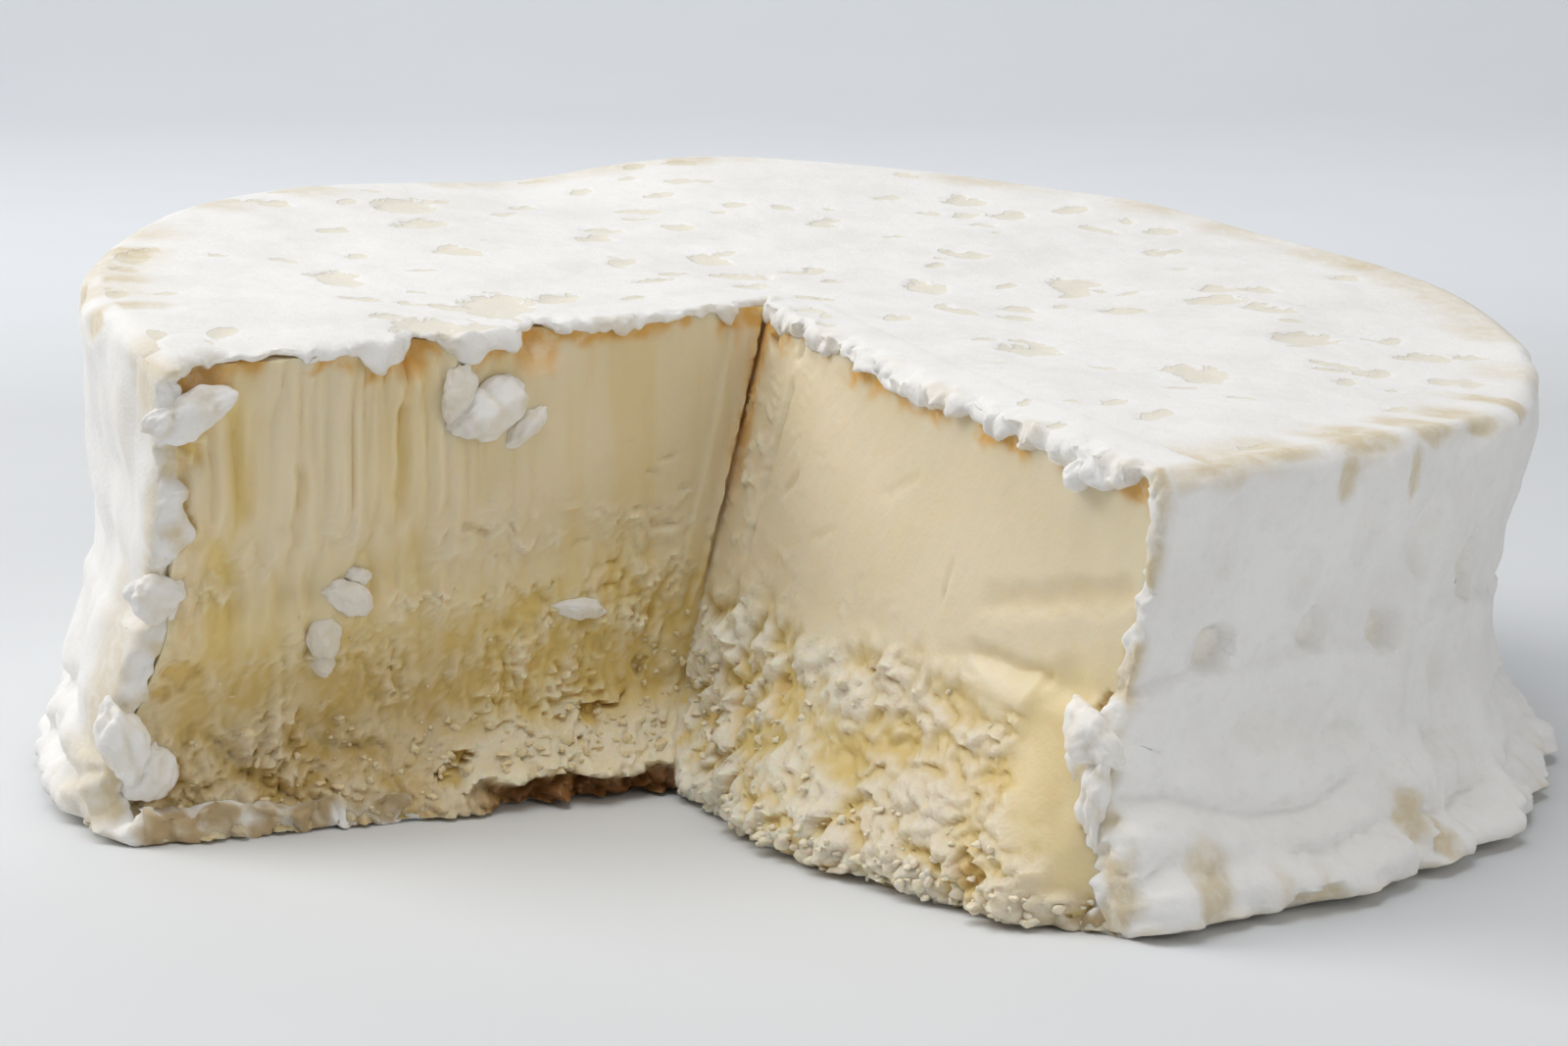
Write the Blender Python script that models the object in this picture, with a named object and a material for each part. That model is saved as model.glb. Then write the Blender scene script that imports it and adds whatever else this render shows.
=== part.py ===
"""A triple-cream cheese round with about a quarter cut out, as one closed solid.

The origin is the centre of the flat base. +Z is up, +X is right and -Y is the side that the cut
opens to. Lengths are in millimetres and angles in degrees, seen from above and counted from +X,
until build_round writes the mesh in metres.
"""
import math

import bmesh
import bpy
from mathutils import Vector, noise

METRES_PER_MM = 0.001

# The round: radii of the foot, the waist and the rim, each with how much it grows to the right
FOOT_RADIUS = 63.5
FOOT_RADIUS_SKEW = 0.5
WAIST_RADIUS = 60.0
WAIST_RADIUS_SKEW = -0.4
RIM_RADIUS = 62.7
RIM_RADIUS_SKEW = 0.6
TOP_SHIFT = (1.35, 1.05)
RIM_ROUNDING = 1.6
FOOT_ROUNDING = 1.4
# Where the foot ends and the waist is, as shares of the height, and how far they skew to the right
FOOT_END = 0.09
WAIST_LEVEL = 0.45
FOOT_END_SKEW = -0.09
WAIST_LEVEL_SKEW = -0.05

# The top: its centre, its tilt towards the back left, and the rim's outline as (angle, height)
CENTRE_HEIGHT = 40.0
TOP_TILT_X = -3.6
TOP_TILT_Y = 2.9
RIM_OUTLINE = (
    (-64, 35.5), (-48, 36.2), (-31, 34.9), (-14, 35.2), (2, 36.3), (20, 37.6), (42, 39.6), (58, 41.8),
    (76, 43.6), (92, 45.1), (106, 44.9), (120, 43.8), (148, 45.6), (166, 44.7), (186, 43.3),
    (205, 42.4), (216, 40.2),
)
TOP_WAVE_HEIGHT = 0.45
TOP_WAVE_LENGTH = 17.0

# The side: shallow dents all over, and folds in the foot
DENT_DEPTH = 0.45
DENT_LENGTH = 11.0
FOLD_DEPTH = 1.0
FOLD_LENGTH = 6.0
FOLD_TOP = 11.0

# The cut: the crease where both faces meet as (height, x, y), and where each face leaves the side
# as (height, angle)
CREASE = (
    (0.0, -9.6, -14.6), (1.6, -9.6, -16.0), (3.4, -9.6, -14.2), (5.4, -9.5, -9.0),
    (8.0, -9.1, -5.7), (41.0, -1.5, 0.2),
)
RIGHT_EDGE = ((0.0, -66.0), (9.0, -67.0), (15.0, -67.0), (18.0, -65.4), (28.0, -64.8), (37.0, -65.0))
LEFT_EDGE = (
    (0.0, 210.8), (2.5, 207.6), (8.0, 207.8), (14.0, 209.4), (17.5, 210.2), (20.5, 209.8),
    (27.0, 213.0), (34.0, 213.2), (42.0, 215.6),
)
RIGHT_BOW = 1.5
LEFT_BOW = 0.6

# The torn ledge along the foot of the right face
LEDGE_WIDTH = 4.6
LEDGE_TOP = 15.5
LEDGE_BROW = 3.0
LEDGE_UNDERCUT = 1.3
LEDGE_START = 0.05
LEDGE_FULL = 0.35
LEDGE_END = 0.94

# Relief of the cut faces
CRUMB_HEIGHT = 1.5
CRUMB_LENGTH = 5.0
SKIM_HEIGHT = 0.25
SKIM_LENGTH = 6.0
GROOVE_DEPTH = 0.6
GROOVE_LENGTH = 4.5
GROOVE_BOTTOM = 17.0

# Lumps stuck on a face, each as share of the way from the crease to the side, height, half width,
# half height and how far it stands out; a gouge stands out by less than nothing
LEFT_LUMPS = (
    (0.94, 36.8, 3.4, 2.4, 2.4),
    (0.44, 34.6, 4.2, 3.0, 2.4),
    (0.985, 21.0, 2.4, 2.0, 1.6),
    (0.66, 17.4, 2.8, 3.6, 0.9),
    (0.95, 7.8, 4.2, 3.2, 1.6),
    (0.22, 5.6, 7.0, 2.4, 1.8),
)
RIGHT_LUMPS = (
    (0.985, 15.2, 3.0, 2.6, 2.0),
    (0.90, 12.5, 2.4, 4.5, -1.8),
    (0.84, 34.9, 1.8, 1.6, 1.2),
    (0.30, 13.0, 4.5, 3.0, 1.3),
    (0.10, 13.5, 3.0, 3.0, 1.2),
)

# How finely the surface is divided
SIDE_STEPS = 66
FACE_STEPS = 28
LEVELS = (
    0.0, 0.012, 0.045, 0.10, 0.16, 0.22, 0.28, 0.34, 0.40, 0.46, 0.52, 0.58, 0.64, 0.70, 0.76, 0.82,
    0.88, 0.93, 0.97, 0.99, 1.0,
)
EDGE_BLEND_STEPS = 7
WELD_DISTANCE = 1e-7
SMOOTH_BELOW = math.radians(40.0)

RIND_COLOUR = (0.89, 0.86, 0.80, 1.0)
RIND_ROUGHNESS = 0.85


def clear_scene():
    for scene_object in list(bpy.data.objects):
        bpy.data.objects.remove(scene_object, do_unlink=True)


def ease(low, high, value):
    """0 at low and 1 at high, with a smooth step between them, whichever is the larger."""
    share = min(max((value - low) / (high - low), 0.0), 1.0)
    return share * share * (3.0 - 2.0 * share)


def along(points, value, column=1):
    """Smooth outline through rising points, read at value."""
    if value <= points[0][0]:
        return points[0][column]
    if value >= points[-1][0]:
        return points[-1][column]
    for after in range(1, len(points)):
        if value <= points[after][0]:
            break
    low, high = points[after - 1], points[after]
    before = points[max(after - 2, 0)]
    beyond = points[min(after + 1, len(points) - 1)]
    span = high[0] - low[0]
    start_slope = (high[column] - before[column]) / (high[0] - before[0]) * span
    end_slope = (beyond[column] - low[column]) / (beyond[0] - low[0]) * span
    share = (value - low[0]) / span
    rise = high[column] - low[column]
    return (low[column] + share * start_slope
            + share ** 2 * (3.0 * rise - 2.0 * start_slope - end_slope)
            + share ** 3 * (start_slope + end_slope - 2.0 * rise))


def ripple(x, y, z, wave_length):
    """Smooth pattern between about -1 and 1 that repeats nowhere."""
    return noise.noise(Vector((x / wave_length + 3.1, y / wave_length + 7.7, z / wave_length + 1.3)))


def top_height(x, y):
    """Height of the top surface over a point of the base."""
    angle = math.degrees(math.atan2(y, x))
    if angle < RIM_OUTLINE[0][0] - 30.0:
        angle += 360.0
    share = min(math.hypot(x, y) / RIM_RADIUS, 1.0)
    turn = math.radians(angle)
    tilt = TOP_TILT_X * math.cos(turn) + TOP_TILT_Y * math.sin(turn)
    rest = along(RIM_OUTLINE, angle) - CENTRE_HEIGHT - tilt
    wave = TOP_WAVE_HEIGHT * ripple(x, y, 0.0, TOP_WAVE_LENGTH)
    return CENTRE_HEIGHT + share * tilt + share ** 2 * rest + wave


def rounding(distance, radius):
    """How far a rounded edge lies inside the sharp one, at a distance from the edge."""
    if distance >= radius:
        return 0.0
    return radius - math.sqrt(max(radius ** 2 - (radius - distance) ** 2, 0.0))


def side_point(angle, height, rim):
    """Point of the rind's outside at an angle and a height, under a rim of a known height."""
    turn = math.radians(angle)
    share = height / rim
    foot = FOOT_RADIUS + FOOT_RADIUS_SKEW * math.cos(turn)
    foot_end = FOOT_END + FOOT_END_SKEW * math.cos(turn)
    waist_level = WAIST_LEVEL + WAIST_LEVEL_SKEW * math.cos(turn)
    waist = WAIST_RADIUS + WAIST_RADIUS_SKEW * math.cos(turn)
    rim_radius = RIM_RADIUS + RIM_RADIUS_SKEW * math.cos(turn)
    if share < waist_level:
        radius = foot + (waist - foot) * ease(foot_end, waist_level, share)
    else:
        radius = waist + (rim_radius - waist) * ease(waist_level, 1.0, share)
    radius -= rounding(rim - height, RIM_ROUNDING) + rounding(height, FOOT_ROUNDING)
    x = radius * math.cos(turn)
    y = radius * math.sin(turn)
    dents = DENT_DEPTH * ripple(x, y, height, DENT_LENGTH) * ease(0.0, 4.0, rim - height)
    folds = FOLD_DEPTH * ripple(x, y, 1.6 * height, FOLD_LENGTH) * ease(FOLD_TOP, 2.0, height)
    relief = (dents + folds) * ease(0.0, 2.0, height)
    x += relief * math.cos(turn) + TOP_SHIFT[0] * share
    y += relief * math.sin(turn) + TOP_SHIFT[1] * share
    return Vector((x, y, height))


def rim_height(angle):
    """Height of the top where it meets the side's rounded edge."""
    turn = math.radians(angle)
    radius = RIM_RADIUS - RIM_ROUNDING
    return top_height(radius * math.cos(turn), radius * math.sin(turn))


def lump_height(lumps, share, height, face_length):
    """How far the lumps and gouges of a face stand out at one place."""
    total = 0.0
    for centre, level, half_width, half_height, reach in lumps:
        across = (share - centre) * face_length / half_width
        up = (height - level) / half_height
        total += reach * max(1.0 - across ** 2 - up ** 2, 0.0)
    return total


def right_relief(share, height, x, y):
    """How far the right face stands out past its plane: a smooth cut above a torn ledge."""
    ledge_share = ease(LEDGE_START, LEDGE_FULL, share) * ease(1.0, LEDGE_END, share)
    ledge = LEDGE_WIDTH * ease(LEDGE_TOP, LEDGE_BROW, height)
    ledge -= LEDGE_UNDERCUT * ease(1.6, 0.0, height)
    torn = ease(LEDGE_TOP + 2.0, LEDGE_TOP - 3.0, height)
    crumbs = CRUMB_HEIGHT * torn * ripple(x, y, height, CRUMB_LENGTH)
    skim = SKIM_HEIGHT * ripple(x, y, height, SKIM_LENGTH)
    return ledge * ledge_share + crumbs + skim


def left_relief(share, height, x, y):
    """How far the left face stands out past its plane: knife grooves above, fine crumbs below."""
    grooved = ease(GROOVE_BOTTOM, GROOVE_BOTTOM + 8.0, height) * ease(0.40, 0.60, share)
    grooves = GROOVE_DEPTH * grooved * ripple(x, y, 0.0, GROOVE_LENGTH)
    torn = ease(8.0, 4.0, height) * ease(0.75, 0.35, share)
    crumbs = CRUMB_HEIGHT * torn * ripple(x, y, height, CRUMB_LENGTH)
    skim = SKIM_HEIGHT * ripple(x, y, height, SKIM_LENGTH)
    return grooves + crumbs + skim


def face_point(edge, bow, relief, lumps, share, height, rim):
    """Point of a cut face, a share of the way from the crease to the side."""
    inner = Vector((along(CREASE, height, 1), along(CREASE, height, 2), height))
    outer = side_point(along(edge, height), height, rim)
    run = outer - inner
    outward = Vector((run.y, -run.x, 0.0)).normalized()
    if edge is LEFT_EDGE:
        outward = -outward
    place = inner + run * share
    held = ease(0.0, 0.06, share) * ease(1.0, 0.95, share)
    reach = bow * 4.0 * share * (1.0 - share)
    reach += held * relief(share, height, place.x, place.y)
    reach += ease(0.0, 0.06, share) * (1.0 - share ** 24) * lump_height(lumps, share, height, run.length)
    return place + outward * reach


def cut_face(edge, bow, relief, lumps):
    """Rows of points from the crease to the side, each row from the top down."""
    rim = rim_height(along(edge, CENTRE_HEIGHT))
    rows = []
    for step in range(FACE_STEPS + 1):
        share = step / FACE_STEPS
        crown = CENTRE_HEIGHT
        for _ in range(3):
            place = face_point(edge, bow, relief, lumps, share, crown, rim)
            crown = top_height(place.x, place.y)
        crown += (rim - crown) * share ** 8
        rows.append([
            face_point(edge, bow, relief, lumps, share, crown * (1.0 - level), rim)
            for level in LEVELS
        ])
    return rows


def side_wall(right_face, left_face):
    """Columns of points from the rim down, from the right cut face round the back to the left."""
    columns = []
    for step in range(SIDE_STEPS + 1):
        share = step / SIDE_STEPS
        if step == 0:
            columns.append(right_face[-1])
            continue
        if step == SIDE_STEPS:
            columns.append(left_face[-1])
            continue
        column = []
        for level in LEVELS:
            height_guess = CENTRE_HEIGHT * (1.0 - level)
            start = along(RIGHT_EDGE, height_guess)
            angle = start + (along(LEFT_EDGE, height_guess) - start) * share
            rim = rim_height(angle)
            column.append(side_point(angle, rim * (1.0 - level), rim))
        columns.append(column)
    return columns


def top_surface(right_face, left_face, wall):
    """Rows of points from the crease out to the rim, one for each column of the wall."""
    centre = right_face[0][0]
    rows = []
    for step, column in enumerate(wall):
        near_right = max(1.0 - step / EDGE_BLEND_STEPS, 0.0) ** 2
        near_left = max(1.0 - (SIDE_STEPS - step) / EDGE_BLEND_STEPS, 0.0) ** 2
        row = []
        for out in range(FACE_STEPS + 1):
            share = out / FACE_STEPS
            right_bend = right_face[out][0] - centre.lerp(wall[0][0], share)
            left_bend = left_face[out][0] - centre.lerp(wall[-1][0], share)
            place = centre.lerp(column[0], share) + right_bend * near_right + left_bend * near_left
            inland = 0 < step < SIDE_STEPS and 0 < out < FACE_STEPS
            if inland:
                crown = top_height(place.x, place.y)
                place.z = crown + (column[0].z - crown) * share ** 8
            row.append(place)
        rows.append(row)
    return rows


def lay_sheet(mesh, rows):
    """Add a grid of faces whose corners are the given rows of points."""
    across, up = len(rows), len(rows[0])
    made = bmesh.ops.create_grid(mesh, x_segments=across - 1, y_segments=up - 1, size=1.0)
    for corner in made["verts"]:
        step = round((corner.co.x + 1.0) / 2.0 * (across - 1))
        level = round((corner.co.y + 1.0) / 2.0 * (up - 1))
        corner.co = rows[step][level] * METRES_PER_MM


def build_round():
    """The round as one object with a flat base."""
    right_face = cut_face(RIGHT_EDGE, RIGHT_BOW, right_relief, RIGHT_LUMPS)
    left_face = cut_face(LEFT_EDGE, LEFT_BOW, left_relief, LEFT_LUMPS)
    wall = side_wall(right_face, left_face)
    top = top_surface(right_face, left_face, wall)

    mesh = bmesh.new()
    for rows in (right_face, left_face, wall, top):
        lay_sheet(mesh, rows)
    bmesh.ops.remove_doubles(mesh, verts=mesh.verts, dist=WELD_DISTANCE)
    bmesh.ops.dissolve_degenerate(mesh, edges=mesh.edges, dist=WELD_DISTANCE)
    open_edges = [edge for edge in mesh.edges if edge.is_boundary]
    bmesh.ops.holes_fill(mesh, edges=open_edges, sides=0)
    bmesh.ops.triangulate(mesh, faces=mesh.faces)
    bmesh.ops.recalc_face_normals(mesh, faces=mesh.faces)

    data = bpy.data.meshes.new("cheese_round")
    mesh.to_mesh(data)
    mesh.free()
    data.shade_smooth()
    data.set_sharp_from_angle(angle=SMOOTH_BELOW)
    return bpy.data.objects.new("cheese_round", data)


def rind_material():
    """Matte white mould rind."""
    material = bpy.data.materials.new("bloomy_rind")
    material.use_nodes = True
    shader = material.node_tree.nodes["Principled BSDF"]
    shader.inputs["Base Color"].default_value = RIND_COLOUR
    shader.inputs["Roughness"].default_value = RIND_ROUGHNESS
    shader.inputs["Metallic"].default_value = 0.0
    return material


def main():
    clear_scene()
    cheese = build_round()
    cheese.data.materials.append(rind_material())
    bpy.context.scene.collection.objects.link(cheese)


main()
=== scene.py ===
"""Looks of a triple-cream cheese round with a wedge cut out, on a pale studio floor.

Shapes are worked out in millimetres and degrees, in the part's own frame: the origin is the centre
of the flat base, +Z is up and the cut opens towards -Y. The meshes are written in metres.
"""

import math
import random

import bmesh
import bpy
from mathutils import Matrix, Vector, kdtree, noise


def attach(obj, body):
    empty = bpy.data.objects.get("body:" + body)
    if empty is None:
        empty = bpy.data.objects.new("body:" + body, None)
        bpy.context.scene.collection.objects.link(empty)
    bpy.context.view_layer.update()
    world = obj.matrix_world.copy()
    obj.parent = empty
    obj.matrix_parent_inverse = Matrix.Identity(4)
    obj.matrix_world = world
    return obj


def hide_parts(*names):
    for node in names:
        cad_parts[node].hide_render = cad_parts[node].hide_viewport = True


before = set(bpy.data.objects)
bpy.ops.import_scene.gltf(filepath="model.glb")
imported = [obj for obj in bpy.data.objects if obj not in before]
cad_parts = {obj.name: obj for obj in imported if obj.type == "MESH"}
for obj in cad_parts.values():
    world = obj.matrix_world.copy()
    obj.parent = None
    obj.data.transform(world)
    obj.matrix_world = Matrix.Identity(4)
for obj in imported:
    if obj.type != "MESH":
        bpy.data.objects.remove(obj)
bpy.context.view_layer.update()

NODE = "cheese_round"
BODY = "root"
MM = 0.001
NOISE_SEED = 7
noise.seed_set(NOISE_SEED)

# The round, the same as the solid's
FOOT_RADIUS, FOOT_RADIUS_SKEW = 63.5, 0.5
WAIST_RADIUS, WAIST_RADIUS_SKEW = 60.0, -0.4
RIM_RADIUS, RIM_RADIUS_SKEW = 62.7, 0.6
TOP_SHIFT = (1.35, 1.05)
RIM_ROUNDING = 1.6
FOOT_ROUNDING = 1.4
FOOT_END, FOOT_END_SKEW = 0.09, -0.09
WAIST_LEVEL, WAIST_LEVEL_SKEW = 0.45, -0.05
CENTRE_HEIGHT = 40.0
TOP_TILT_X, TOP_TILT_Y = -3.6, 2.9
RIM_OUTLINE = (
    (-64, 35.5), (-48, 36.2), (-31, 34.9), (-14, 35.2), (2, 36.3), (20, 37.6), (42, 39.6), (58, 41.8),
    (76, 43.6), (92, 45.1), (106, 44.9), (120, 43.8), (148, 45.6), (166, 44.7), (186, 43.3),
    (205, 42.4), (216, 40.2),
)
TOP_WAVE_HEIGHT, TOP_WAVE_LENGTH = 0.45, 17.0
DENT_DEPTH, DENT_LENGTH = 0.45, 11.0
FOLD_DEPTH, FOLD_LENGTH, FOLD_TOP = 1.0, 6.0, 11.0

# The cut, the same as the solid's but for a ledge that ends a little sooner at the right
CREASE = (
    (0.0, -9.6, -14.6), (1.6, -9.6, -16.0), (3.4, -9.6, -14.2), (5.4, -9.5, -9.0),
    (8.0, -9.1, -5.7), (41.0, -1.5, 0.2),
)
RIGHT_EDGE = ((0.0, -66.0), (9.0, -67.0), (15.0, -67.0), (18.0, -65.4), (28.0, -64.8), (37.0, -65.0))
LEFT_EDGE = (
    (0.0, 210.8), (2.5, 207.6), (8.0, 207.8), (14.0, 209.4), (17.5, 210.2), (20.5, 209.8),
    (27.0, 213.0), (34.0, 213.2), (42.0, 215.6),
)
RIGHT_BOW, LEFT_BOW = 1.5, 0.6
LEDGE_WIDTH, LEDGE_TOP, LEDGE_BROW = 4.6, 15.5, 3.0
LEDGE_UNDERCUT = 1.3
LEDGE_START, LEDGE_FULL, LEDGE_END = 0.05, 0.35, 0.86
# A smooth gouge in the ledge as (share, height, half width, half height, lift)
RIGHT_GOUGE = (0.90, 12.5, 3.6, 6.5, -0.8)

# How finely the pieces are divided
COARSE = 1
RIND_TURNS = 480 // COARSE
RIND_STEPS = 96 // COARSE
RIND_LEVELS = 76 // COARSE
PASTE_STEPS = 190 // COARSE
PASTE_LEVELS = 126 // COARSE
LIP_SPACING = 0.24 * COARSE
LIP_HALF_WINDOW = max(6 // COARSE, 2)
CURL_FINENESS = 5
CRUMB_FINENESS = 2
SHARP_ANGLE = 65.0
MERGE_DISTANCE = 1e-7

# How far the paste stays inside the rind, and the rind's own cut faces behind the paste
PASTE_BELOW_TOP = 0.55
PASTE_ABOVE_FOOT = 0.35
PASTE_INSIDE_SIDE = 1.3
RIND_RECESS = 3.4
PASTE_DEPTH = 4.4

# Bare ovals in the mould on top, as (x, y, half length, half width, turn)
BARE_OVALS = (
    (-29.4, -19.7, 5.4, 3.2, 100), (-24.9, -7.5, 5.2, 3.2, 95), (-20.0, -3.0, 2.8, 1.6, 60),
    (-38.9, -1.1, 3.6, 2.2, 120), (-36.0, 34.0, 4.5, 3.0, 80), (-33.8, 25.2, 3.4, 2.2, 60),
    (20.2, -15.1, 3.2, 2.4, 30), (33.8, -20.8, 3.4, 2.3, 80), (25.2, 14.9, 4.2, 1.7, 100),
    (38.2, 10.8, 3.1, 1.9, 20), (44.3, -3.5, 3.3, 2.6, 40), (43.0, 7.4, 2.1, 1.5, 0),
    (12.2, 10.3, 3.6, 2.0, 100), (-3.9, 10.7, 3.0, 1.5, 0), (-57.0, 3.2, 3.2, 1.4, 90),
    (29.3, 4.6, 2.3, 1.6, 10), (16.0, 25.0, 2.4, 1.6, 0), (-56.5, -15.0, 3.0, 1.3, 75),
)
SMALL_SPOTS = 180


def ease(low, high, value):
    """0 at low and 1 at high, with a smooth step between them, whichever is the larger."""
    share = min(max((value - low) / (high - low), 0.0), 1.0)
    return share * share * (3.0 - 2.0 * share)


def bell(value, centre, half_width):
    """1 at the centre, falling smoothly to 0 on both sides."""
    return math.exp(-((value - centre) / half_width) ** 2)


def oval(across, up, half_width, half_height):
    """1 in the middle of an oval, 0 on its edge and less outside it."""
    return 1.0 - (across / half_width) ** 2 - (up / half_height) ** 2


def along(points, value, column=1):
    """Smooth outline through rising points, read at value."""
    if value <= points[0][0]:
        return points[0][column]
    if value >= points[-1][0]:
        return points[-1][column]
    for after in range(1, len(points)):
        if value <= points[after][0]:
            break
    low, high = points[after - 1], points[after]
    before = points[max(after - 2, 0)]
    beyond = points[min(after + 1, len(points) - 1)]
    span = high[0] - low[0]
    start_slope = (high[column] - before[column]) / (high[0] - before[0]) * span
    end_slope = (beyond[column] - low[column]) / (beyond[0] - low[0]) * span
    share = (value - low[0]) / span
    rise = high[column] - low[column]
    return (low[column] + share * start_slope
            + share ** 2 * (3.0 * rise - 2.0 * start_slope - end_slope)
            + share ** 3 * (start_slope + end_slope - 2.0 * rise))


def ripple(x, y, z, wave_length):
    """Smooth pattern between about -1 and 1 that repeats nowhere."""
    return noise.noise(Vector((x / wave_length + 3.1, y / wave_length + 7.7, z / wave_length + 1.3)))


def clump(x, y, z, wave_length):
    """Rounded lumps with sharp valleys between them, from 0 in the valleys to about 1."""
    return 1.15 * math.tanh(2.1 * abs(ripple(x, y, z, wave_length)))


def flakes(x, y, z, wave_length):
    """Flat steps with short steep edges, between about -1 and 1."""
    value = 3.0 * ripple(x, y, z, wave_length)
    step = math.floor(value)
    return (step + ease(0.6, 1.0, value - step)) / 3.0


def scales(x, y, z, spacing):
    """Short ridges one over another with sharp lower lips, as a knife leaves that jumps, from 0 to 1."""
    phase = -z / spacing + 1.5 * ripple(x, y, 0.3 * z, 1.2 * spacing) + ripple(x, y, z, 4.0 * spacing)
    share = phase - math.floor(phase)
    return share ** 1.5 * ease(1.0, 0.8, share) * ease(-0.15, 0.35, ripple(x, y, 1.4 * z, 1.8 * spacing))


def top_height(x, y):
    """Height of the top surface over a point of the base."""
    angle = math.degrees(math.atan2(y, x))
    if angle < RIM_OUTLINE[0][0] - 30.0:
        angle += 360.0
    share = min(math.hypot(x, y) / RIM_RADIUS, 1.0)
    turn = math.radians(angle)
    tilt = TOP_TILT_X * math.cos(turn) + TOP_TILT_Y * math.sin(turn)
    rest = along(RIM_OUTLINE, angle) - CENTRE_HEIGHT - tilt
    wave = TOP_WAVE_HEIGHT * ripple(x, y, 0.0, TOP_WAVE_LENGTH)
    return CENTRE_HEIGHT + share * tilt + share ** 2 * rest + wave


def rounding(distance, radius):
    """How far a rounded edge lies inside the sharp one, at a distance from the edge."""
    if distance >= radius:
        return 0.0
    return radius - math.sqrt(max(radius ** 2 - (radius - distance) ** 2, 0.0))


def side_point(angle, height, rim):
    """Point of the solid's side at an angle and a height, under a rim of a known height."""
    turn = math.radians(angle)
    share = height / rim
    foot = FOOT_RADIUS + FOOT_RADIUS_SKEW * math.cos(turn)
    foot_end = FOOT_END + FOOT_END_SKEW * math.cos(turn)
    waist_level = WAIST_LEVEL + WAIST_LEVEL_SKEW * math.cos(turn)
    waist = WAIST_RADIUS + WAIST_RADIUS_SKEW * math.cos(turn)
    rim_radius = RIM_RADIUS + RIM_RADIUS_SKEW * math.cos(turn)
    if share < waist_level:
        radius = foot + (waist - foot) * ease(foot_end, waist_level, share)
    else:
        radius = waist + (rim_radius - waist) * ease(waist_level, 1.0, share)
    radius -= rounding(rim - height, RIM_ROUNDING) + rounding(height, FOOT_ROUNDING)
    x = radius * math.cos(turn)
    y = radius * math.sin(turn)
    dents = DENT_DEPTH * ripple(x, y, height, DENT_LENGTH) * ease(0.0, 4.0, rim - height)
    folds = FOLD_DEPTH * ripple(x, y, 1.6 * height, FOLD_LENGTH) * ease(FOLD_TOP, 2.0, height)
    relief = (dents + folds) * ease(0.0, 2.0, height)
    x += relief * math.cos(turn) + TOP_SHIFT[0] * share
    y += relief * math.sin(turn) + TOP_SHIFT[1] * share
    return Vector((x, y, height))


def rim_height(angle):
    """Height of the top where it meets the side's rounded edge."""
    turn = math.radians(angle)
    radius = RIM_RADIUS - RIM_ROUNDING
    return top_height(radius * math.cos(turn), radius * math.sin(turn))


class Cut:
    """One cut face: its line on the side, its bow, its ledge, and on which side of it the cheese lies."""

    def __init__(self, name, edge, bow, ledge_width, cheese_side):
        self.name = name
        self.edge = edge
        self.bow = bow
        self.ledge_width = ledge_width
        self.cheese_side = cheese_side

    def crease_point(self, height, recess=0.0):
        """Point of the crease where both faces meet, moved back into the cheese."""
        return Vector((along(CREASE, height, 1) + 0.15 * recess, along(CREASE, height, 2) + recess, height))

    def edge_angle(self, height, recess=0.0):
        """Angle at which the face leaves the side, moved back into the cheese."""
        return along(self.edge, height) + self.cheese_side * math.degrees(recess / FOOT_RADIUS)

    def rim(self, recess=0.0):
        """Height of the rim at the face's edge."""
        return rim_height(self.edge_angle(CENTRE_HEIGHT, recess))

    def frame(self, height, recess=0.0):
        """Crease point, run to the side and outward direction of the face at a height."""
        inner = self.crease_point(height, recess)
        run = side_point(self.edge_angle(height, recess), height, self.rim(recess)) - inner
        outward = Vector((run.y, -run.x, 0.0)).normalized() * self.cheese_side
        return inner, run, outward

    def swell(self, share, height):
        """How far the face stands out past its flat run: its bow and the torn ledge."""
        reach = self.bow * 4.0 * share * (1.0 - share)
        if self.ledge_width:
            ledge_share = ease(LEDGE_START, LEDGE_FULL, share) * ease(1.0, LEDGE_END, share)
            ledge = self.ledge_width * ease(LEDGE_TOP, LEDGE_BROW, height)
            ledge -= LEDGE_UNDERCUT * ease(1.6, 0.0, height)
            reach += ledge * ledge_share
        return reach

    def point(self, share, height, recess=0.0):
        """Point of the smooth face, a share of the way from the crease to the side."""
        inner, run, outward = self.frame(height, recess)
        return inner + run * share + outward * self.swell(share, height)

    def crown(self, share, recess=0.0):
        """Height of the top surface over the face's upper edge."""
        height = CENTRE_HEIGHT
        for _ in range(3):
            place = self.point(share, height, recess)
            height = top_height(place.x, place.y)
        return height + (self.rim(recess) - height) * share ** 8


RIGHT = Cut("right", RIGHT_EDGE, RIGHT_BOW, LEDGE_WIDTH, 1.0)
LEFT = Cut("left", LEFT_EDGE, LEFT_BOW, 0.0, -1.0)


def levels(count):
    """Shares from 0 to 1, closer together near both ends."""
    shares = [step / count for step in range(count + 1)]
    return [0.6 * share + 0.2 * (1.0 - math.cos(math.pi * share)) for share in shares]


def lay_sheet(mesh, rows, marks=()):
    """Add a grid of faces through rows of (place, marks); marks are kept as float layers."""
    layers = [mesh.verts.layers.float.get(mark) or mesh.verts.layers.float.new(mark) for mark in marks]
    across, up = len(rows) - 1, len(rows[0]) - 1
    made = bmesh.ops.create_grid(mesh, x_segments=across, y_segments=up, size=1.0)
    for corner in made["verts"]:
        step = round((corner.co.x + 1.0) / 2.0 * across)
        level = round((corner.co.y + 1.0) / 2.0 * up)
        place, values = rows[step][level]
        corner.co = place * MM
        for layer, value in zip(layers, values):
            corner[layer] = value


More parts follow.
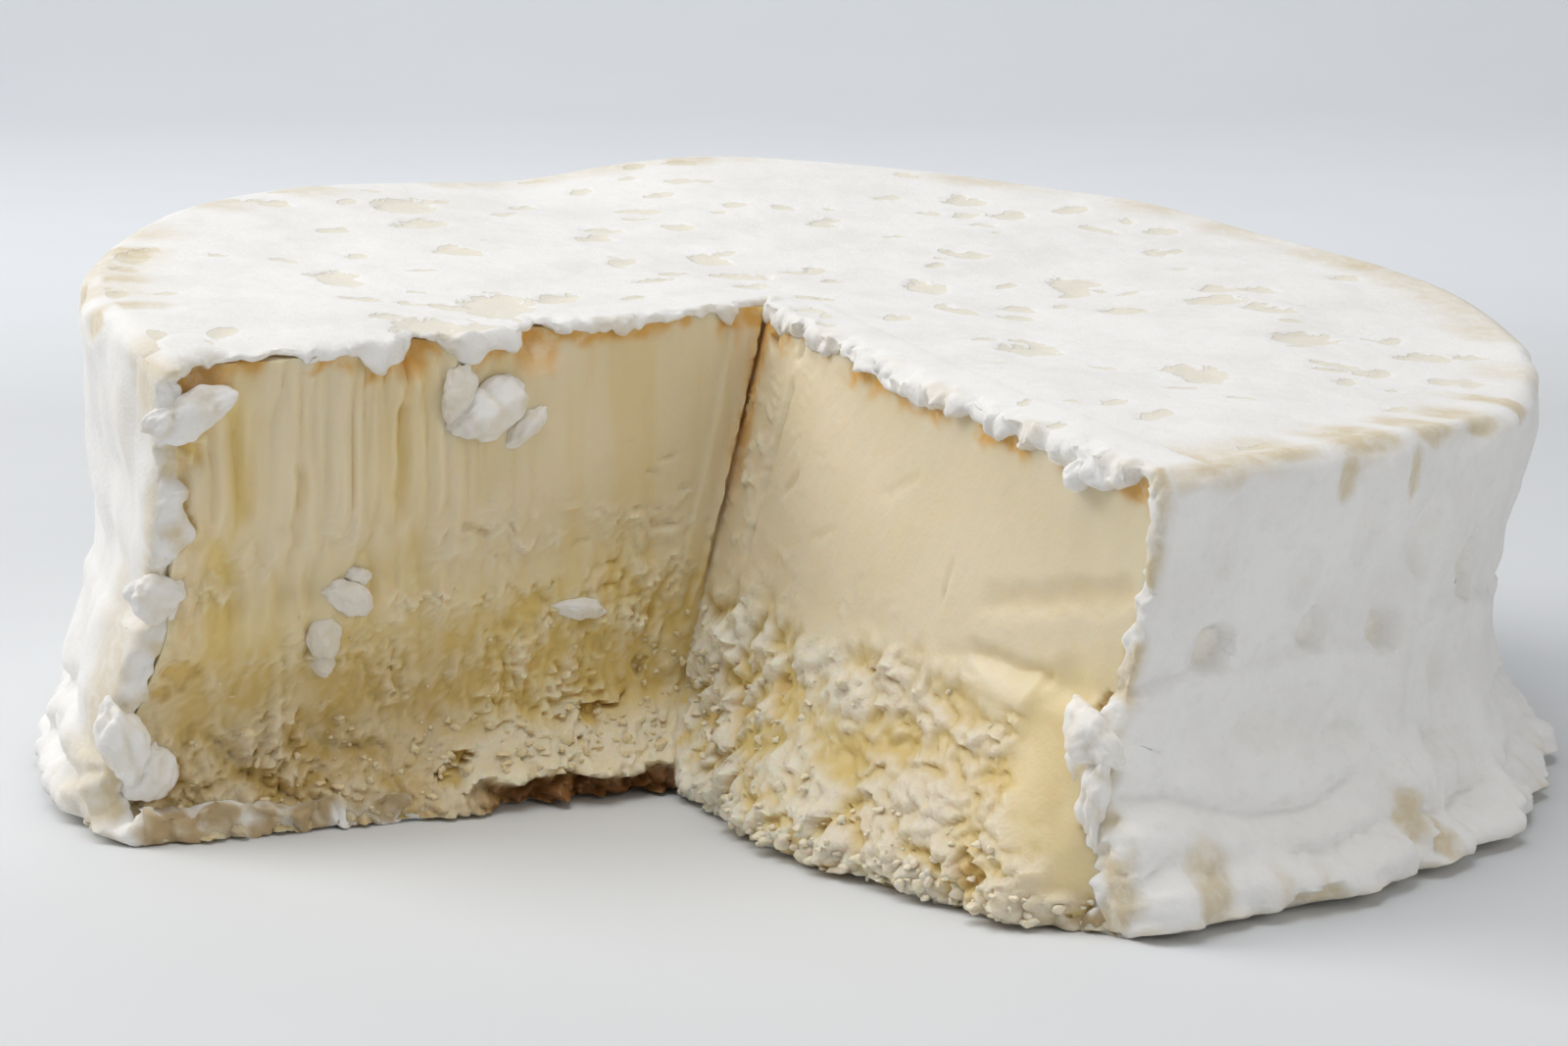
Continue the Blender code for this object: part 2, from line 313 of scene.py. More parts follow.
def add_object(name, mesh, material):
    """Turn a bmesh into a smooth object of one material."""
    data = bpy.data.meshes.new(name)
    mesh.to_mesh(data)
    mesh.free()
    data.shade_smooth()
    data.materials.append(material)
    thing = bpy.data.objects.new(name, data)
    bpy.context.scene.collection.objects.link(thing)
    return thing


def finish_piece(name, mesh, material):
    """Turn a bmesh into a piece of one material that rides on the body."""
    bmesh.ops.recalc_face_normals(mesh, faces=mesh.faces)
    piece = add_object(name, mesh, material)
    piece.data.set_sharp_from_angle(angle=math.radians(SHARP_ANGLE))
    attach(piece, BODY)
    return piece


# The rind

def spot_list():
    """Bare ovals and small seeded spots of the top, where the mould is thin and dips."""
    draw = random.Random(5)
    spots = [(x, y, length, width, math.radians(turn)) for x, y, length, width, turn in BARE_OVALS]
    for _ in range(SMALL_SPOTS):
        angle = draw.uniform(0.0, 2.0 * math.pi)
        radius = 60.0 * math.sqrt(draw.random())
        length = draw.uniform(0.8, 2.3)
        width = length * draw.uniform(0.35, 0.8)
        spots.append((radius * math.cos(angle), radius * math.sin(angle), length, width,
                      draw.uniform(-0.5, 1.4)))
    return spots


# Marks of the rind: bare is -1 outside a bare spot and 1 in its middle; tan and the foot's brown, partly
# painted shade, are 0 to 1
RIND_MARKS = ("bare", "tan", "foot_brown_and_shade")
PLAIN_RIND = (-1.0, 0.0)
LARGEST_SPOT = 6.5
SPOTS = spot_list()
SPOT_TREE = kdtree.KDTree(len(SPOTS))
for spot_index, spot in enumerate(SPOTS):
    SPOT_TREE.insert((spot[0], spot[1], 0.0), spot_index)
SPOT_TREE.balance()


def spot_dip(x, y):
    """How far inside a bare spot a place of the top lies, below 0 outside, and how far it dips there."""
    bend = 0.5 * ripple(x, y, 4.0, 2.2)
    bare = -1.0
    dip = 0.0
    for _, index, _ in SPOT_TREE.find_range((x, y, 0.0), LARGEST_SPOT):
        cx, cy, length, width, turn = SPOTS[index]
        dx, dy = x - cx + bend, y - cy + bend
        across = dx * math.cos(turn) + dy * math.sin(turn)
        up = dy * math.cos(turn) - dx * math.sin(turn)
        depth = oval(across, up, length, width)
        bare = max(bare, depth)
        dip = max(dip, ease(0.0, 0.45, depth) * min(0.10 * width + 0.08, 0.30))
    return bare, dip


def top_detail(x, y):
    """Fine height of the top over its smooth form, and its mark for bare spots."""
    bare, dip = spot_dip(x, y)
    fine = 0.16 * ripple(x, y, 2.0, 6.0) + 0.07 * ripple(x, y, 5.0, 1.9)
    return fine - dip, bare


# Dents in the side as (angle, height, half width, half height, depth), and its bare tan patches
SIDE_DENTS = (
    (-26.2, 22.4, 2.0, 3.4, 1.1), (-58.8, 21.3, 1.9, 2.4, 1.0), (-48.6, 20.9, 1.4, 1.9, 0.7),
    (-40.2, 19.7, 1.7, 2.0, 0.9), (-53.0, 14.0, 3.4, 1.9, 0.4), (-33.0, 8.5, 3.0, 1.4, 0.5),
    (-59.0, 30.0, 1.6, 4.0, 0.35), (-45.0, 29.0, 2.2, 3.5, 0.45), (-51.0, 26.0, 1.6, 3.0, 0.4),
    (-36.0, 26.5, 2.6, 3.8, 0.45), (-30.0, 14.5, 2.0, 1.6, 0.5), (-45.0, 12.0, 2.6, 1.3, 0.45),
    (30.0, 20.0, 2.4, 1.8, 0.9), (75.0, 16.0, 2.0, 2.6, 0.9), (110.0, 24.0, 1.8, 2.8, 1.0),
    (150.0, 18.0, 2.6, 1.7, 0.8), (178.0, 26.0, 1.6, 2.4, 0.7), (15.0, 12.0, 2.8, 1.6, 0.8),
    (95.0, 30.0, 2.4, 1.4, 0.6), (55.0, 27.0, 2.0, 3.0, 0.7), (130.0, 30.0, 1.8, 3.2, 0.7),
)
TAN_PATCHES = (
    (-60.6, 4.0, 2.8, 4.4), (-40.3, 5.2, 1.9, 2.8), (-37.5, 3.0, 1.5, 2.6), (-52.0, 1.2, 3.4, 1.2),
    (-48.8, 33.4, 1.2, 2.4), (-41.1, 32.4, 1.0, 2.8), (-54.5, 36.6, 5.4, 1.6), (-46.0, 35.8, 5.0, 1.5),
    (-37.6, 35.3, 3.8, 1.7), (-22.0, 34.6, 2.4, 1.8), (-60.5, 35.8, 3.4, 1.2), (-30.0, 34.7, 3.6, 1.0),
    (187.0, 41.4, 3.2, 1.9), (176.0, 43.6, 3.0, 1.5), (200.0, 41.6, 2.6, 1.6), (60.0, 4.0, 3.0, 2.4),
    (130.0, 5.0, 2.6, 3.2), (100.0, 43.8, 4.0, 1.2), (30.0, 38.0, 4.0, 1.2), (168.0, 6.0, 2.6, 3.0),
    (5.0, 3.5, 3.4, 2.2),
)


# The side's own relief: a shelf half way up, folded skin above the foot and a roll at the foot
SHELF_LEVEL, SHELF_STEP = 18.6, 0.7
FOLD_LEVEL, ROLL_LEVEL, GROOVE_DEPTH = 8.5, 4.2, 0.9
DENT_SINK = 1.5


def patch_depth(patch, angle, height, warp):
    """1 in the middle of an oval on the side and 0 outside it."""
    patch_angle, patch_height, half_width, half_height = patch[:4]
    across = ((angle - patch_angle + 180.0) % 360.0 - 180.0) * math.radians(FOOT_RADIUS) + warp
    return max(oval(across, height - patch_height + warp, half_width, half_height), 0.0)


def side_swells(x, y, height):
    """Broad lumps and fine wrinkles of the side, and its shelf."""
    reach = 0.5 * clump(x, y, height, 9.0) + 0.8 * ripple(x, y, 0.7 * height, 8.0)
    reach += 0.4 * ripple(x, y, height, 4.2) - 0.2
    reach += 0.07 * ripple(x, y, height, 1.9) + 0.12 * ripple(x, y, 0.22 * height, 2.6)
    shelf = SHELF_LEVEL + 2.0 * ripple(x, y, 2.0, 11.0)
    return reach + SHELF_STEP * ease(shelf + 0.6, shelf - 0.4, height) * ease(6.0, 12.0, height)


def foot_folds(x, y, height):
    """How far the folded skin and the roll stand out, how much of the roll it is, and the roll's lobes."""
    fold_top = FOLD_LEVEL + 3.6 * ripple(x, y, 3.0, 14.0)
    wrinkles = 1.1 * clump(x, y, 0.8 * height, 4.6) + 0.4 * clump(x, y, height, 2.0) - 0.45
    reach = ease(fold_top + 0.5, fold_top - 1.6, height) * (0.5 + wrinkles)
    reach -= GROOVE_DEPTH * bell(height, fold_top + 0.8, 0.7) * ease(-0.4, 0.1, ripple(x, y, 20.0, 9.0))
    roll_top = ROLL_LEVEL + 1.4 * ripple(x, y, 8.0, 6.0)
    lobes = clump(x, y, 9.0, 8.0)
    roll = ease(roll_top + 0.4, roll_top - 1.2, height) * ease(0.0, 1.2, height)
    reach += roll * (0.9 + 1.1 * lobes) - GROOVE_DEPTH * bell(height, roll_top + 0.5, 0.5) * lobes
    return reach, roll, lobes


def side_detail(angle, height, rim):
    """How far the side stands out past its smooth form, and how tan it is."""
    turn = math.radians(angle)
    x, y = FOOT_RADIUS * math.cos(turn), FOOT_RADIUS * math.sin(turn)
    warp = 0.7 * ripple(x, y, height, 2.6)
    folds, roll, lobes = foot_folds(x, y, height)
    reach = side_swells(x, y, height) + folds
    tan = max(0.7 * ease(2.0, 0.4, height + 1.2 * warp), 0.5 * ease(0.16, 0.0, lobes) * roll)
    for dent in SIDE_DENTS:
        depth = patch_depth(dent, angle, height, warp)
        reach -= DENT_SINK * dent[4] * ease(0.0, 0.5, depth)
        tan = max(tan, 0.38 * dent[4] ** 2 * ease(0.1, 0.9, depth))
    near_cut = ease(12.0, 2.0, (along(LEFT_EDGE, height) - angle) * math.radians(FOOT_RADIUS))
    tan = max(tan, 0.7 * near_cut * ease(-0.4, 0.2, ripple(x, y, 0.5 * height, 5.0)))
    for patch in TAN_PATCHES:
        depth = patch_depth(patch, angle, height, warp)
        tan = max(tan, 0.9 * ease(0.0, 0.8, depth))
        reach -= (0.25 + 0.7 * roll) * ease(0.0, 0.7, depth)
    near_rim = ease(2.2, 0.8, rim - height + 1.5 * warp)
    tan = max(tan, 0.55 * near_rim * ease(-0.25, 0.2, ripple(x, y, 7.0, 9.0)))
    fade = ease(0.0, 1.2, height) * ease(0.0, 1.2, rim - height)
    return reach * fade, tan


def rind_side_point(angle, height, rim):
    """Point of the rind's side with its fine relief, and its marks."""
    place = side_point(angle, height, rim)
    reach, tan = side_detail(angle, height, rim)
    outward = Vector((place.x, place.y, 0.0)).normalized()
    return place + outward * reach, (-1.0, tan)


def rind_wall():
    """Columns from the rim down, from the right cut round the back to the left cut."""
    columns = []
    for step in range(RIND_TURNS + 1):
        share = step / RIND_TURNS
        column = []
        for level in levels(RIND_LEVELS):
            guess = CENTRE_HEIGHT * (1.0 - level)
            start = RIGHT.edge_angle(guess, RIND_RECESS)
            angle = start + (LEFT.edge_angle(guess, RIND_RECESS) - start) * share
            rim = rim_height(angle)
            column.append(rind_side_point(angle, rim * (1.0 - level), rim))
        columns.append(column)
    return columns


def rind_cut_face(cut, wall_column):
    """Smooth face behind the paste, whose last row is the wall's own column."""
    rows = []
    for step in range(RIND_STEPS):
        share = step / RIND_STEPS
        crown = cut.crown(share, RIND_RECESS)
        heights = [crown * (1.0 - level) for level in levels(RIND_LEVELS)]
        row = [(cut.point(share, height, RIND_RECESS), PLAIN_RIND) for height in heights]
        edge = row[0][0]
        fine, bare = top_detail(edge.x, edge.y)
        row[0] = (edge + Vector((0.0, 0.0, fine * ease(1.0, 0.97, share))), (bare, 0.0))
        rows.append(row)
    rows.append(wall_column)
    return rows


def rind_top(wall, right_face, left_face):
    """Rows from the crease out to the rim, one for each column of the wall."""
    centre = right_face[0][0][0]
    bent_steps = RIND_TURNS * 0.1
    rows = []
    for step, column in enumerate(wall):
        near_right = max(1.0 - step / bent_steps, 0.0) ** 2
        near_left = max(1.0 - (RIND_TURNS - step) / bent_steps, 0.0) ** 2
        row = []
        for out in range(RIND_STEPS + 1):
            share = out / RIND_STEPS
            if out == RIND_STEPS:
                row.append(column[0])
                continue
            if step in (0, RIND_TURNS):
                face = right_face if step == 0 else left_face
                row.append(face[out][0])
                continue
            right_bend = right_face[out][0][0] - centre.lerp(wall[0][0][0], share)
            left_bend = left_face[out][0][0] - centre.lerp(wall[-1][0][0], share)
            place = centre.lerp(column[0][0], share) + right_bend * near_right + left_bend * near_left
            fine, bare = top_detail(place.x, place.y)
            crown = top_height(place.x, place.y)
            crown += (column[0][0].z - crown) * share ** 12
            place.z = crown
            fine *= ease(1.0, 0.97, share)
            wavy_share = share + 0.02 * ripple(place.x, place.y, 3.0, 3.0)
            rim_tan = column[2][1][1] * ease(0.90, 0.97, wavy_share)
            row.append((place + Vector((0.0, 0.0, fine)), (bare, rim_tan)))
        rows.append(row)
    return rows


def make_rind(material):
    """The whole skin: top, side and foot, with plain cut faces that the paste covers."""
    wall = rind_wall()
    right_face = rind_cut_face(RIGHT, wall[0])
    left_face = rind_cut_face(LEFT, wall[-1])
    left_face[0] = list(right_face[0])
    top = rind_top(wall, right_face, left_face)
    mesh = bmesh.new()
    for rows in (wall, right_face, left_face, top):
        lay_sheet(mesh, rows, RIND_MARKS)
    bmesh.ops.remove_doubles(mesh, verts=mesh.verts, dist=MERGE_DISTANCE)
    open_edges = [edge for edge in mesh.edges if edge.is_boundary]
    bmesh.ops.holes_fill(mesh, edges=open_edges, sides=0)
    return finish_piece("rind", mesh, material)


# The paste

LEFT_LENGTH = 61.0
RIGHT_LENGTH = 63.0
# A hair crack in the right face, as (height, share)
CRACK = ((12.0, 0.095), (20.0, 0.105), (28.0, 0.12), (38.0, 0.14))
CRACK_DEPTH, CRACK_HALF_WIDTH = 0.55, 0.4
# Height of the line below which the knife jumped on the left face
CHATTER_LINE = 18.5
# Torn pockets as (share, height, half width, half height, depth)
LEFT_POCKETS = (
    (0.965, 33.5, 1.4, 3.2, 0.5), (0.985, 26.5, 1.0, 2.4, 0.4), (0.95, 13.5, 2.2, 1.8, 0.6),
    (0.42, 3.6, 1.7, 1.0, 1.2), (0.16, 6.4, 2.8, 0.9, 1.6), (0.10, 9.4, 1.3, 1.2, 1.0),
    (0.33, 17.5, 1.5, 0.4, 0.6),
)
RIGHT_POCKETS = (
    (0.985, 6.6, 1.2, 2.6, 1.0), (0.99, 16.8, 1.0, 0.8, 0.9), (0.20, 8.0, 1.8, 1.3, 1.2),
    (0.30, 10.6, 1.4, 1.0, 0.9), (0.12, 5.5, 1.6, 1.6, 1.1), (0.80, 3.6, 2.6, 0.9, 0.9),
    (0.06, 37.0, 0.9, 0.9, 0.7),
)
# Nicks and soft strokes as (share, height, share, height, half width, depth)
LEFT_STROKES = (
    (0.495, 23.6, 0.450, 23.0, 0.35, 0.6), (0.34, 17.2, 0.31, 16.4, 0.4, 0.6),
    (0.24, 18.6, 0.15, 19.2, 0.3, 0.4), (0.22, 17.0, 0.17, 17.4, 0.3, 0.4),
    (0.39, 15.0, 0.34, 13.4, 0.5, 0.7), (0.44, 21.0, 0.41, 20.6, 0.3, 0.4),
    (0.28, 21.0, 0.25, 21.2, 0.25, 0.3), (0.80, 30.0, 0.80, 21.0, 0.6, 0.5),
    (0.62, 34.0, 0.615, 24.0, 0.7, 0.6),
)
RIGHT_STROKES = (
    (0.97, 25.5, 0.70, 22.0, 1.3, 0.35), (0.62, 24.4, 0.615, 21.2, 0.25, 0.25),
    (0.50, 30.0, 0.42, 27.5, 0.5, 0.1), (0.33, 24.0, 0.27, 22.6, 0.3, 0.15),
    (0.86, 17.6, 0.70, 18.2, 0.7, 0.5), (0.20, 27.0, 0.17, 25.0, 0.35, 0.3),
)


def stroke_depth(strokes, length, share, height):
    """How deep the nicks and strokes are at a point of a face."""
    deepest = 0.0
    spot = Vector((share * length, height))
    for start_share, start, end_share, end, half_width, depth in strokes:
        tail = Vector((start_share * length, start))
        run = Vector((end_share * length, end)) - tail
        along_run = min(max((spot - tail).dot(run) / run.length_squared, 0.0), 1.0)
        away = (spot - tail - run * along_run).length / half_width
        deepest = max(deepest, depth * ease(1.6, 0.0, away) * ease(0.0, 0.2, 1.08 - along_run))
    return deepest


def pocket_depth(pockets, length, share, height, warp):
    """How deep and how strong the torn pockets are at a point of a face."""
    deepest = 0.0
    strength = 0.0
    for centre, level, half_width, half_height, depth in pockets:
        across = (share - centre) * length + warp
        inside = max(oval(across, height - level - warp, half_width, half_height), 0.0)
        deepest = max(deepest, depth * ease(0.0, 0.5, inside))
        strength = max(strength, ease(0.0, 0.6, inside))
    return deepest, strength


def billows(x, y, height, coarse):
    """Torn curd: rounded lumps upon lumps with sharp valleys, about 0 on the whole."""
    lumps = 1.15 * coarse * clump(x, y, height, 5.4) + 0.6 * coarse * clump(x, y, height, 2.6)
    lumps += 0.60 * clump(x, y, height, 1.3) + 0.26 * clump(x, y, height, 0.7)
    return lumps + 0.5 * scales(x, y, height, 1.2) - coarse - 0.35


def pocket_warp(x, y, height):
    """Wobble of the pockets' outlines."""
    return 1.6 * ripple(x, y, height, 1.9) + 0.7 * ripple(x, y, height, 0.8)


def knife_grooves(x, y, height):
    """Upright grooves of the knife, coarse and fine, about 0 on the whole."""
    grooves = clump(x, y, 0.035 * height, 6.0) + 0.75 * clump(x, y, 0.05 * height, 2.4) - 0.8
    return grooves + 0.30 * clump(x, y, 0.05 * height, 1.1)


def left_relief(share, height, x, y):
    """Relief of the left face and its marks: how torn and pale, partly painted light; how deep yellow, partly
    painted shade; how amber; and its painted shade.

    Grooves run down its upper part and fade towards the crease. Below them the knife jumped, and at the foot
    the paste is torn, with a ridge and a hollow under it beside the crease.
    """
    line = CHATTER_LINE - 4.0 * ease(0.25, 0.75, share) + 3.0 * ripple(x, y, 0.0, 7.0)
    upper = ease(line - 3.0, line + 4.0, height)
    side = ease(0.34, 0.60, share)
    grooves = knife_grooves(x, y, height)
    reach = upper * (0.15 + 0.85 * side) * grooves + 0.3 * upper * side * flakes(x, y, 0.12 * height, 7.0)
    nicks = ease(0.34, 0.5, ripple(0.45 * x, 0.45 * y, 1.8 * height, 1.9)) * ease(0.30, 0.15, share)
    reach -= 0.35 * nicks * upper * ease(34.0, 26.0, height)

    rough = 1.0 - upper
    wild = ease(-0.30, 0.30, ripple(x, y, height, 8.0) + 0.5 * ripple(x, y, height, 3.5))
    wild *= ease(0.0, 0.12, share)
    ladder = 0.95 * scales(x, y, height, 1.5) + 0.55 * scales(y, x, height, 0.9)
    curtain = 0.7 * clump(x, y, 0.3 * height, 1.5) + 0.5 * clump(x, y, 0.5 * height, 3.2)
    chatter = ladder + curtain + 0.45 * clump(x, y, height, 1.0) - 0.6
    reach += rough * (0.35 + 0.70 * wild) * chatter
    patchy = ease(0.0, 0.35, ripple(x, y, height, 6.0) + 0.45 * ease(0.75, 0.4, share) - 0.1)
    patchy *= ease(28.0, 21.0, height) * ease(0.0, 0.1, share)
    reach += 0.8 * upper * patchy * ladder

    low = ease(11.0, 6.5, height + 2.0 * ripple(x, y, 3.0, 5.0)) * ease(0.40, 0.62, share)
    lumps = billows(x, y, height, 1.2)
    reach += 0.9 * low * lumps
    ridge = ease(7.4, 5.4, height + 1.6 * ripple(x, y, 3.0, 4.0)) * ease(0.56, 0.38, share)
    hollow = ease(3.0, 1.9, height + 0.8 * ripple(x, y, 1.0, 3.0)) * ease(0.46, 0.30, share)
    reach += ridge * (1.2 + billows(x, y, height, 1.3)) - hollow * (3.4 - 1.3 * clump(x, y, height, 2.2))

    strip = ease(0.064, 0.056, share + 0.004 * ripple(x, y, height, 5.0)) * ease(16.0, 21.0, height)
    bead = bell(share, 0.012, 0.008) * ease(14.0, 18.0, height)
    reach += 0.30 * strip + bead * (0.5 + 0.5 * clump(x, y, height, 1.3))
    warp = pocket_warp(x, y, height)
    pocket, amber = pocket_depth(LEFT_POCKETS, LEFT_LENGTH, share, height, warp)
    stroke = stroke_depth(LEFT_STROKES, LEFT_LENGTH, share + 0.004 * warp, height + 0.25 * warp)
    reach -= stroke

    # Torn and pale: torn curd is paler, and paler still on the tops of ridges and lumps, which is painted
    # light
    torn = max(0.6 * rough * (0.4 + 0.6 * wild) * ease(0.2, 1.0, chatter), 0.7 * upper * patchy * ladder,
               0.55 * low * ease(-0.3, 0.8, lumps), 0.7 * ridge, 0.4 * ease(0.90, 0.97, share))
    torn *= 1.0 - hollow
    valley = max(rough * ease(0.35, -0.2, chatter), upper * side * ease(0.1, -0.5, grooves))
    # Deep yellow: the paste's own yellow in strokes, pockets and beside the rind, with painted shade over
    # this whole shaded face, more low down, more in the valleys and less on groove ridges
    deep = 0.42 + 0.33 * ease(27.0, 12.0, height) + 0.4 * valley + 0.4 * stroke
    deep += 0.3 * amber + 0.15 * ease(0.8, 1.0, share) - 0.2 * upper * ease(0.0, 0.6, grooves)
    dim = (0.22 * ease(17.0, 11.0, height) + 0.14 * ease(11.0, 2.0, height)) * ease(0.3, 0.5, share)
    shade = max(0.95 * hollow, dim * (1.0 - 0.7 * torn))
    return reach - pocket, torn * (1.0 - amber), deep, 0.15 * amber, shade


def right_relief(share, height, x, y):
    """Relief of the right face and its marks: how torn and pale, partly painted light; how deep yellow,
    partly painted shade; how amber; and its painted shade.

    A smooth cut with a hair crack and scales above, and coarse torn curd on the ledge below.
    """
    line = LEDGE_TOP + 1.2 + 2.4 * ripple(x, y, 0.0, 9.0) + 1.4 * ripple(x, y, 2.0, 2.6)
    corner = ease(0.93, 0.86, share + 0.04 * ripple(x, y, height, 4.0))
    torn = ease(line + 1.2, line - 3.0, height)
    torn *= corner + (1.0 - corner) * ease(3.4, 2.2, height) * ease(1.0, 0.97, share)
    smooth = 1.0 - torn
    reach = smooth * (0.14 * ripple(x, y, 0.10 * height, 3.4) + 0.04 * ripple(x, y, height, 1.2))
    reach += 0.35 * smooth * ripple(x, y, 0.6 * height, 9.0)
    near_crease = ease(0.15, 0.08, share) * ease(36.0, 31.0, height)
    above_ledge = ease(line + 8.0, line + 1.0, height) * ease(-0.1, 0.3, ripple(x, y, height, 4.5))
    scaly = max(near_crease, 0.3 * ease(0.36, 0.2, share), 0.7 * above_ledge * ease(0.8, 0.6, share))
    flecks = scaly * smooth * scales(x, y, height, 1.3)
    crack = smooth * bell(share, along(CRACK, height), CRACK_HALF_WIDTH / RIGHT_LENGTH)
    reach += 0.55 * flecks - CRACK_DEPTH * crack * ease(-0.35, 0.0, ripple(x, y, height, 4.0))

    wild = max(ease(0.50, 0.22, share), ease(6.5, 3.5, height + 1.5 * ripple(x, y, 5.0, 4.0)))
    curd = billows(x, y, height, 1.3) + 0.4 * scales(x, y, height, 1.8)
    sheets = 1.2 * flakes(0.45 * x, 0.45 * y, 1.2 * height, 3.8) + 0.6 * clump(0.7 * x, 0.7 * y, height, 1.6)
    sheets += 0.5 * scales(x, y, height, 1.4) + 0.20 * clump(x, y, height, 0.8) - 0.55
    rough = wild * curd + (1.0 - wild) * sheets
    centre, level, half_width, half_height, lift = RIGHT_GOUGE
    gouge = ease(-0.6, 0.9, oval((share - centre) * RIGHT_LENGTH, height - level, half_width, half_height))
    bumpy = torn * (1.0 - gouge)
    reach += bumpy * rough + lift * gouge
    warp = pocket_warp(x, y, height)
    pocket, amber = pocket_depth(RIGHT_POCKETS, RIGHT_LENGTH, share, height, warp)
    stroke = smooth * stroke_depth(RIGHT_STROKES, RIGHT_LENGTH, share, height + 0.3 * warp)
    reach -= stroke

    # Pale: torn curd is paler, and paler on the tops of its lumps, which is painted light
    pale = bumpy * (1.0 - amber) * (0.7 + 0.3 * ease(0.6, 0.35, share)) * ease(-0.7, 0.5, rough)
    # Deep yellow: the paste's own yellow at the amber pockets, with painted shade in the curd's valleys, in
    # the gouge and strokes, and low down towards the side
    deep = 0.15 + bumpy * (0.85 * ease(0.15, -0.9, rough) - 0.05) + 0.55 * amber
    deep += 0.35 * ease(0.76, 0.9, share) * ease(24.0, 15.0, height) * (1.0 - gouge)
    deep += 0.45 * gouge + 0.5 * stroke
    shade = 0.14 * bumpy * ease(0.35, 0.6, share)
    return reach - pocket, max(pale, 0.6 * flecks), deep, 0.3 * amber, shade


RELIEF = {"left": left_relief, "right": right_relief}


def amber_edge(cut, share, height, crown, width, place):
    """How amber the paste is beside the rind: broken pockets under the lip, weaker at side and foot."""
    blotch = ripple(place.x, place.y, place.z, 4.2)
    fine = ripple(place.x, place.y, place.z, 1.7)
    drape = max(along(DRAPE[cut.name], share), 0.6)
    under_lip = ease(1.4, -0.2, crown - height - drape + 1.1 * fine) * ease(-0.2, 0.2, blotch + 0.4 * fine)
    if cut is RIGHT:
        beside = ease(1.5, 0.2, (1.0 - share) * width + fine) * ease(0.0, 0.5, blotch) * 0.5
    else:
        beside = ease(4.2, 0.4, (1.0 - share) * width + 1.5 * fine) * ease(-0.3, 0.3, blotch) * 0.3
    beneath = ease(1.8, 0.4, height + fine) * ease(0.0, 0.4, blotch) * 0.8
    return max(under_lip, beside, beneath)


def paste_point(cut, share, height, crown, recess=0.0):
    """Point of the paste's face with its relief, and its marks."""
    inner, run, outward = cut.frame(height, recess)
    width = run.length
    place = inner + run * (1.0 - PASTE_INSIDE_SIDE / width) * share + outward * cut.swell(share, height)
    if recess:
        return place, (0.0, 0.0, 0.0, 0.0)
    reach, torn, deep, amber, shade = RELIEF[cut.name](share, height, place.x, place.y)
    if cut is LEFT:
        notch = notch_depth(share)
        reach -= notch * ease(4.0, 0.6, crown - height)
        below = crown - height + 1.5 * ripple(place.x, place.y, height, 2.0)
        amber = max(amber, ease(0.3, 1.4, notch) * ease(4.5, 1.0, below))
    held = ease(0.0, 0.02, share)
    place = place + outward * reach * held
    sway = noise.noise_vector(place / 1.8) * 0.5 * torn + noise.noise_vector(place / 0.8) * 0.15 * torn
    place += sway * held * ease(1.0, 0.97, share) * ease(0.0, 1.5, height) * ease(0.0, 1.5, crown - height)
    amber = max(amber, amber_edge(cut, share, height, crown, width, place))
    if cut is RIGHT:
        amber = max(amber, 0.8 * ease(0.055, 0.025, share) * ease(17.0, 31.0, height))
    else:
        amber = max(amber, 0.7 * ease(0.035, 0.01, share) * ease(20.0, 33.0, height))
    return place, (amber, torn, deep, shade)


def paste_face(cut, recess):
    """Rows of the paste's face from the crease to just inside the side, each from the top down."""
    rows = []
    for step in range(PASTE_STEPS + 1):
        share = step / PASTE_STEPS
        crown = cut.crown(share, recess) - PASTE_BELOW_TOP
        heights = [crown + (PASTE_ABOVE_FOOT - crown) * level for level in levels(PASTE_LEVELS)]
        rows.append([paste_point(cut, share, height, crown, recess) for height in heights])
    return rows


PASTE_MARKS = ("amber", "torn", "deep", "shade")


def make_paste(material):
    """The pale paste that shows in the cut: a slab as deep as a thumbnail behind both faces."""
    mesh = bmesh.new()
    for recess in (0.0, PASTE_DEPTH):
        for cut in (RIGHT, LEFT):
            lay_sheet(mesh, paste_face(cut, recess), PASTE_MARKS)
    bmesh.ops.remove_doubles(mesh, verts=mesh.verts, dist=MERGE_DISTANCE)
    open_edges = [edge for edge in mesh.edges if edge.is_boundary]
    bmesh.ops.bridge_loops(mesh, edges=open_edges)
    return finish_piece("paste", mesh, material)


# The cut edge of the rind

# How far the rind hangs over the top of each face, as (share, drape)
RIGHT_DRAPE = (
    (0.0, 1.7), (0.10, 2.1), (0.25, 1.8), (0.40, 2.2), (0.55, 1.8), (0.70, 2.2), (0.82, 1.8),
    (0.90, 2.1), (0.96, 1.6), (1.0, 1.3),
)
LEFT_DRAPE = (
    (0.0, 1.2), (0.08, 1.5), (0.20, 0.9), (0.30, 1.2), (0.40, 0.5), (0.45, 1.0), (0.52, 2.1),
    (0.58, 0.9), (0.62, 0.9), (0.70, 2.4), (0.76, 0.9), (0.88, 0.5), (0.96, 0.4), (1.0, 0.9),
)
# Where the rind is torn back from the top of the left face, as (share, half width, depth)
LEFT_NOTCHES = ((0.405, 0.035, 2.4), (0.615, 0.035, 1.8), (0.945, 0.045, 1.8), (0.045, 0.02, 0.8))
DRAPE = {"right": RIGHT_DRAPE, "left": LEFT_DRAPE}


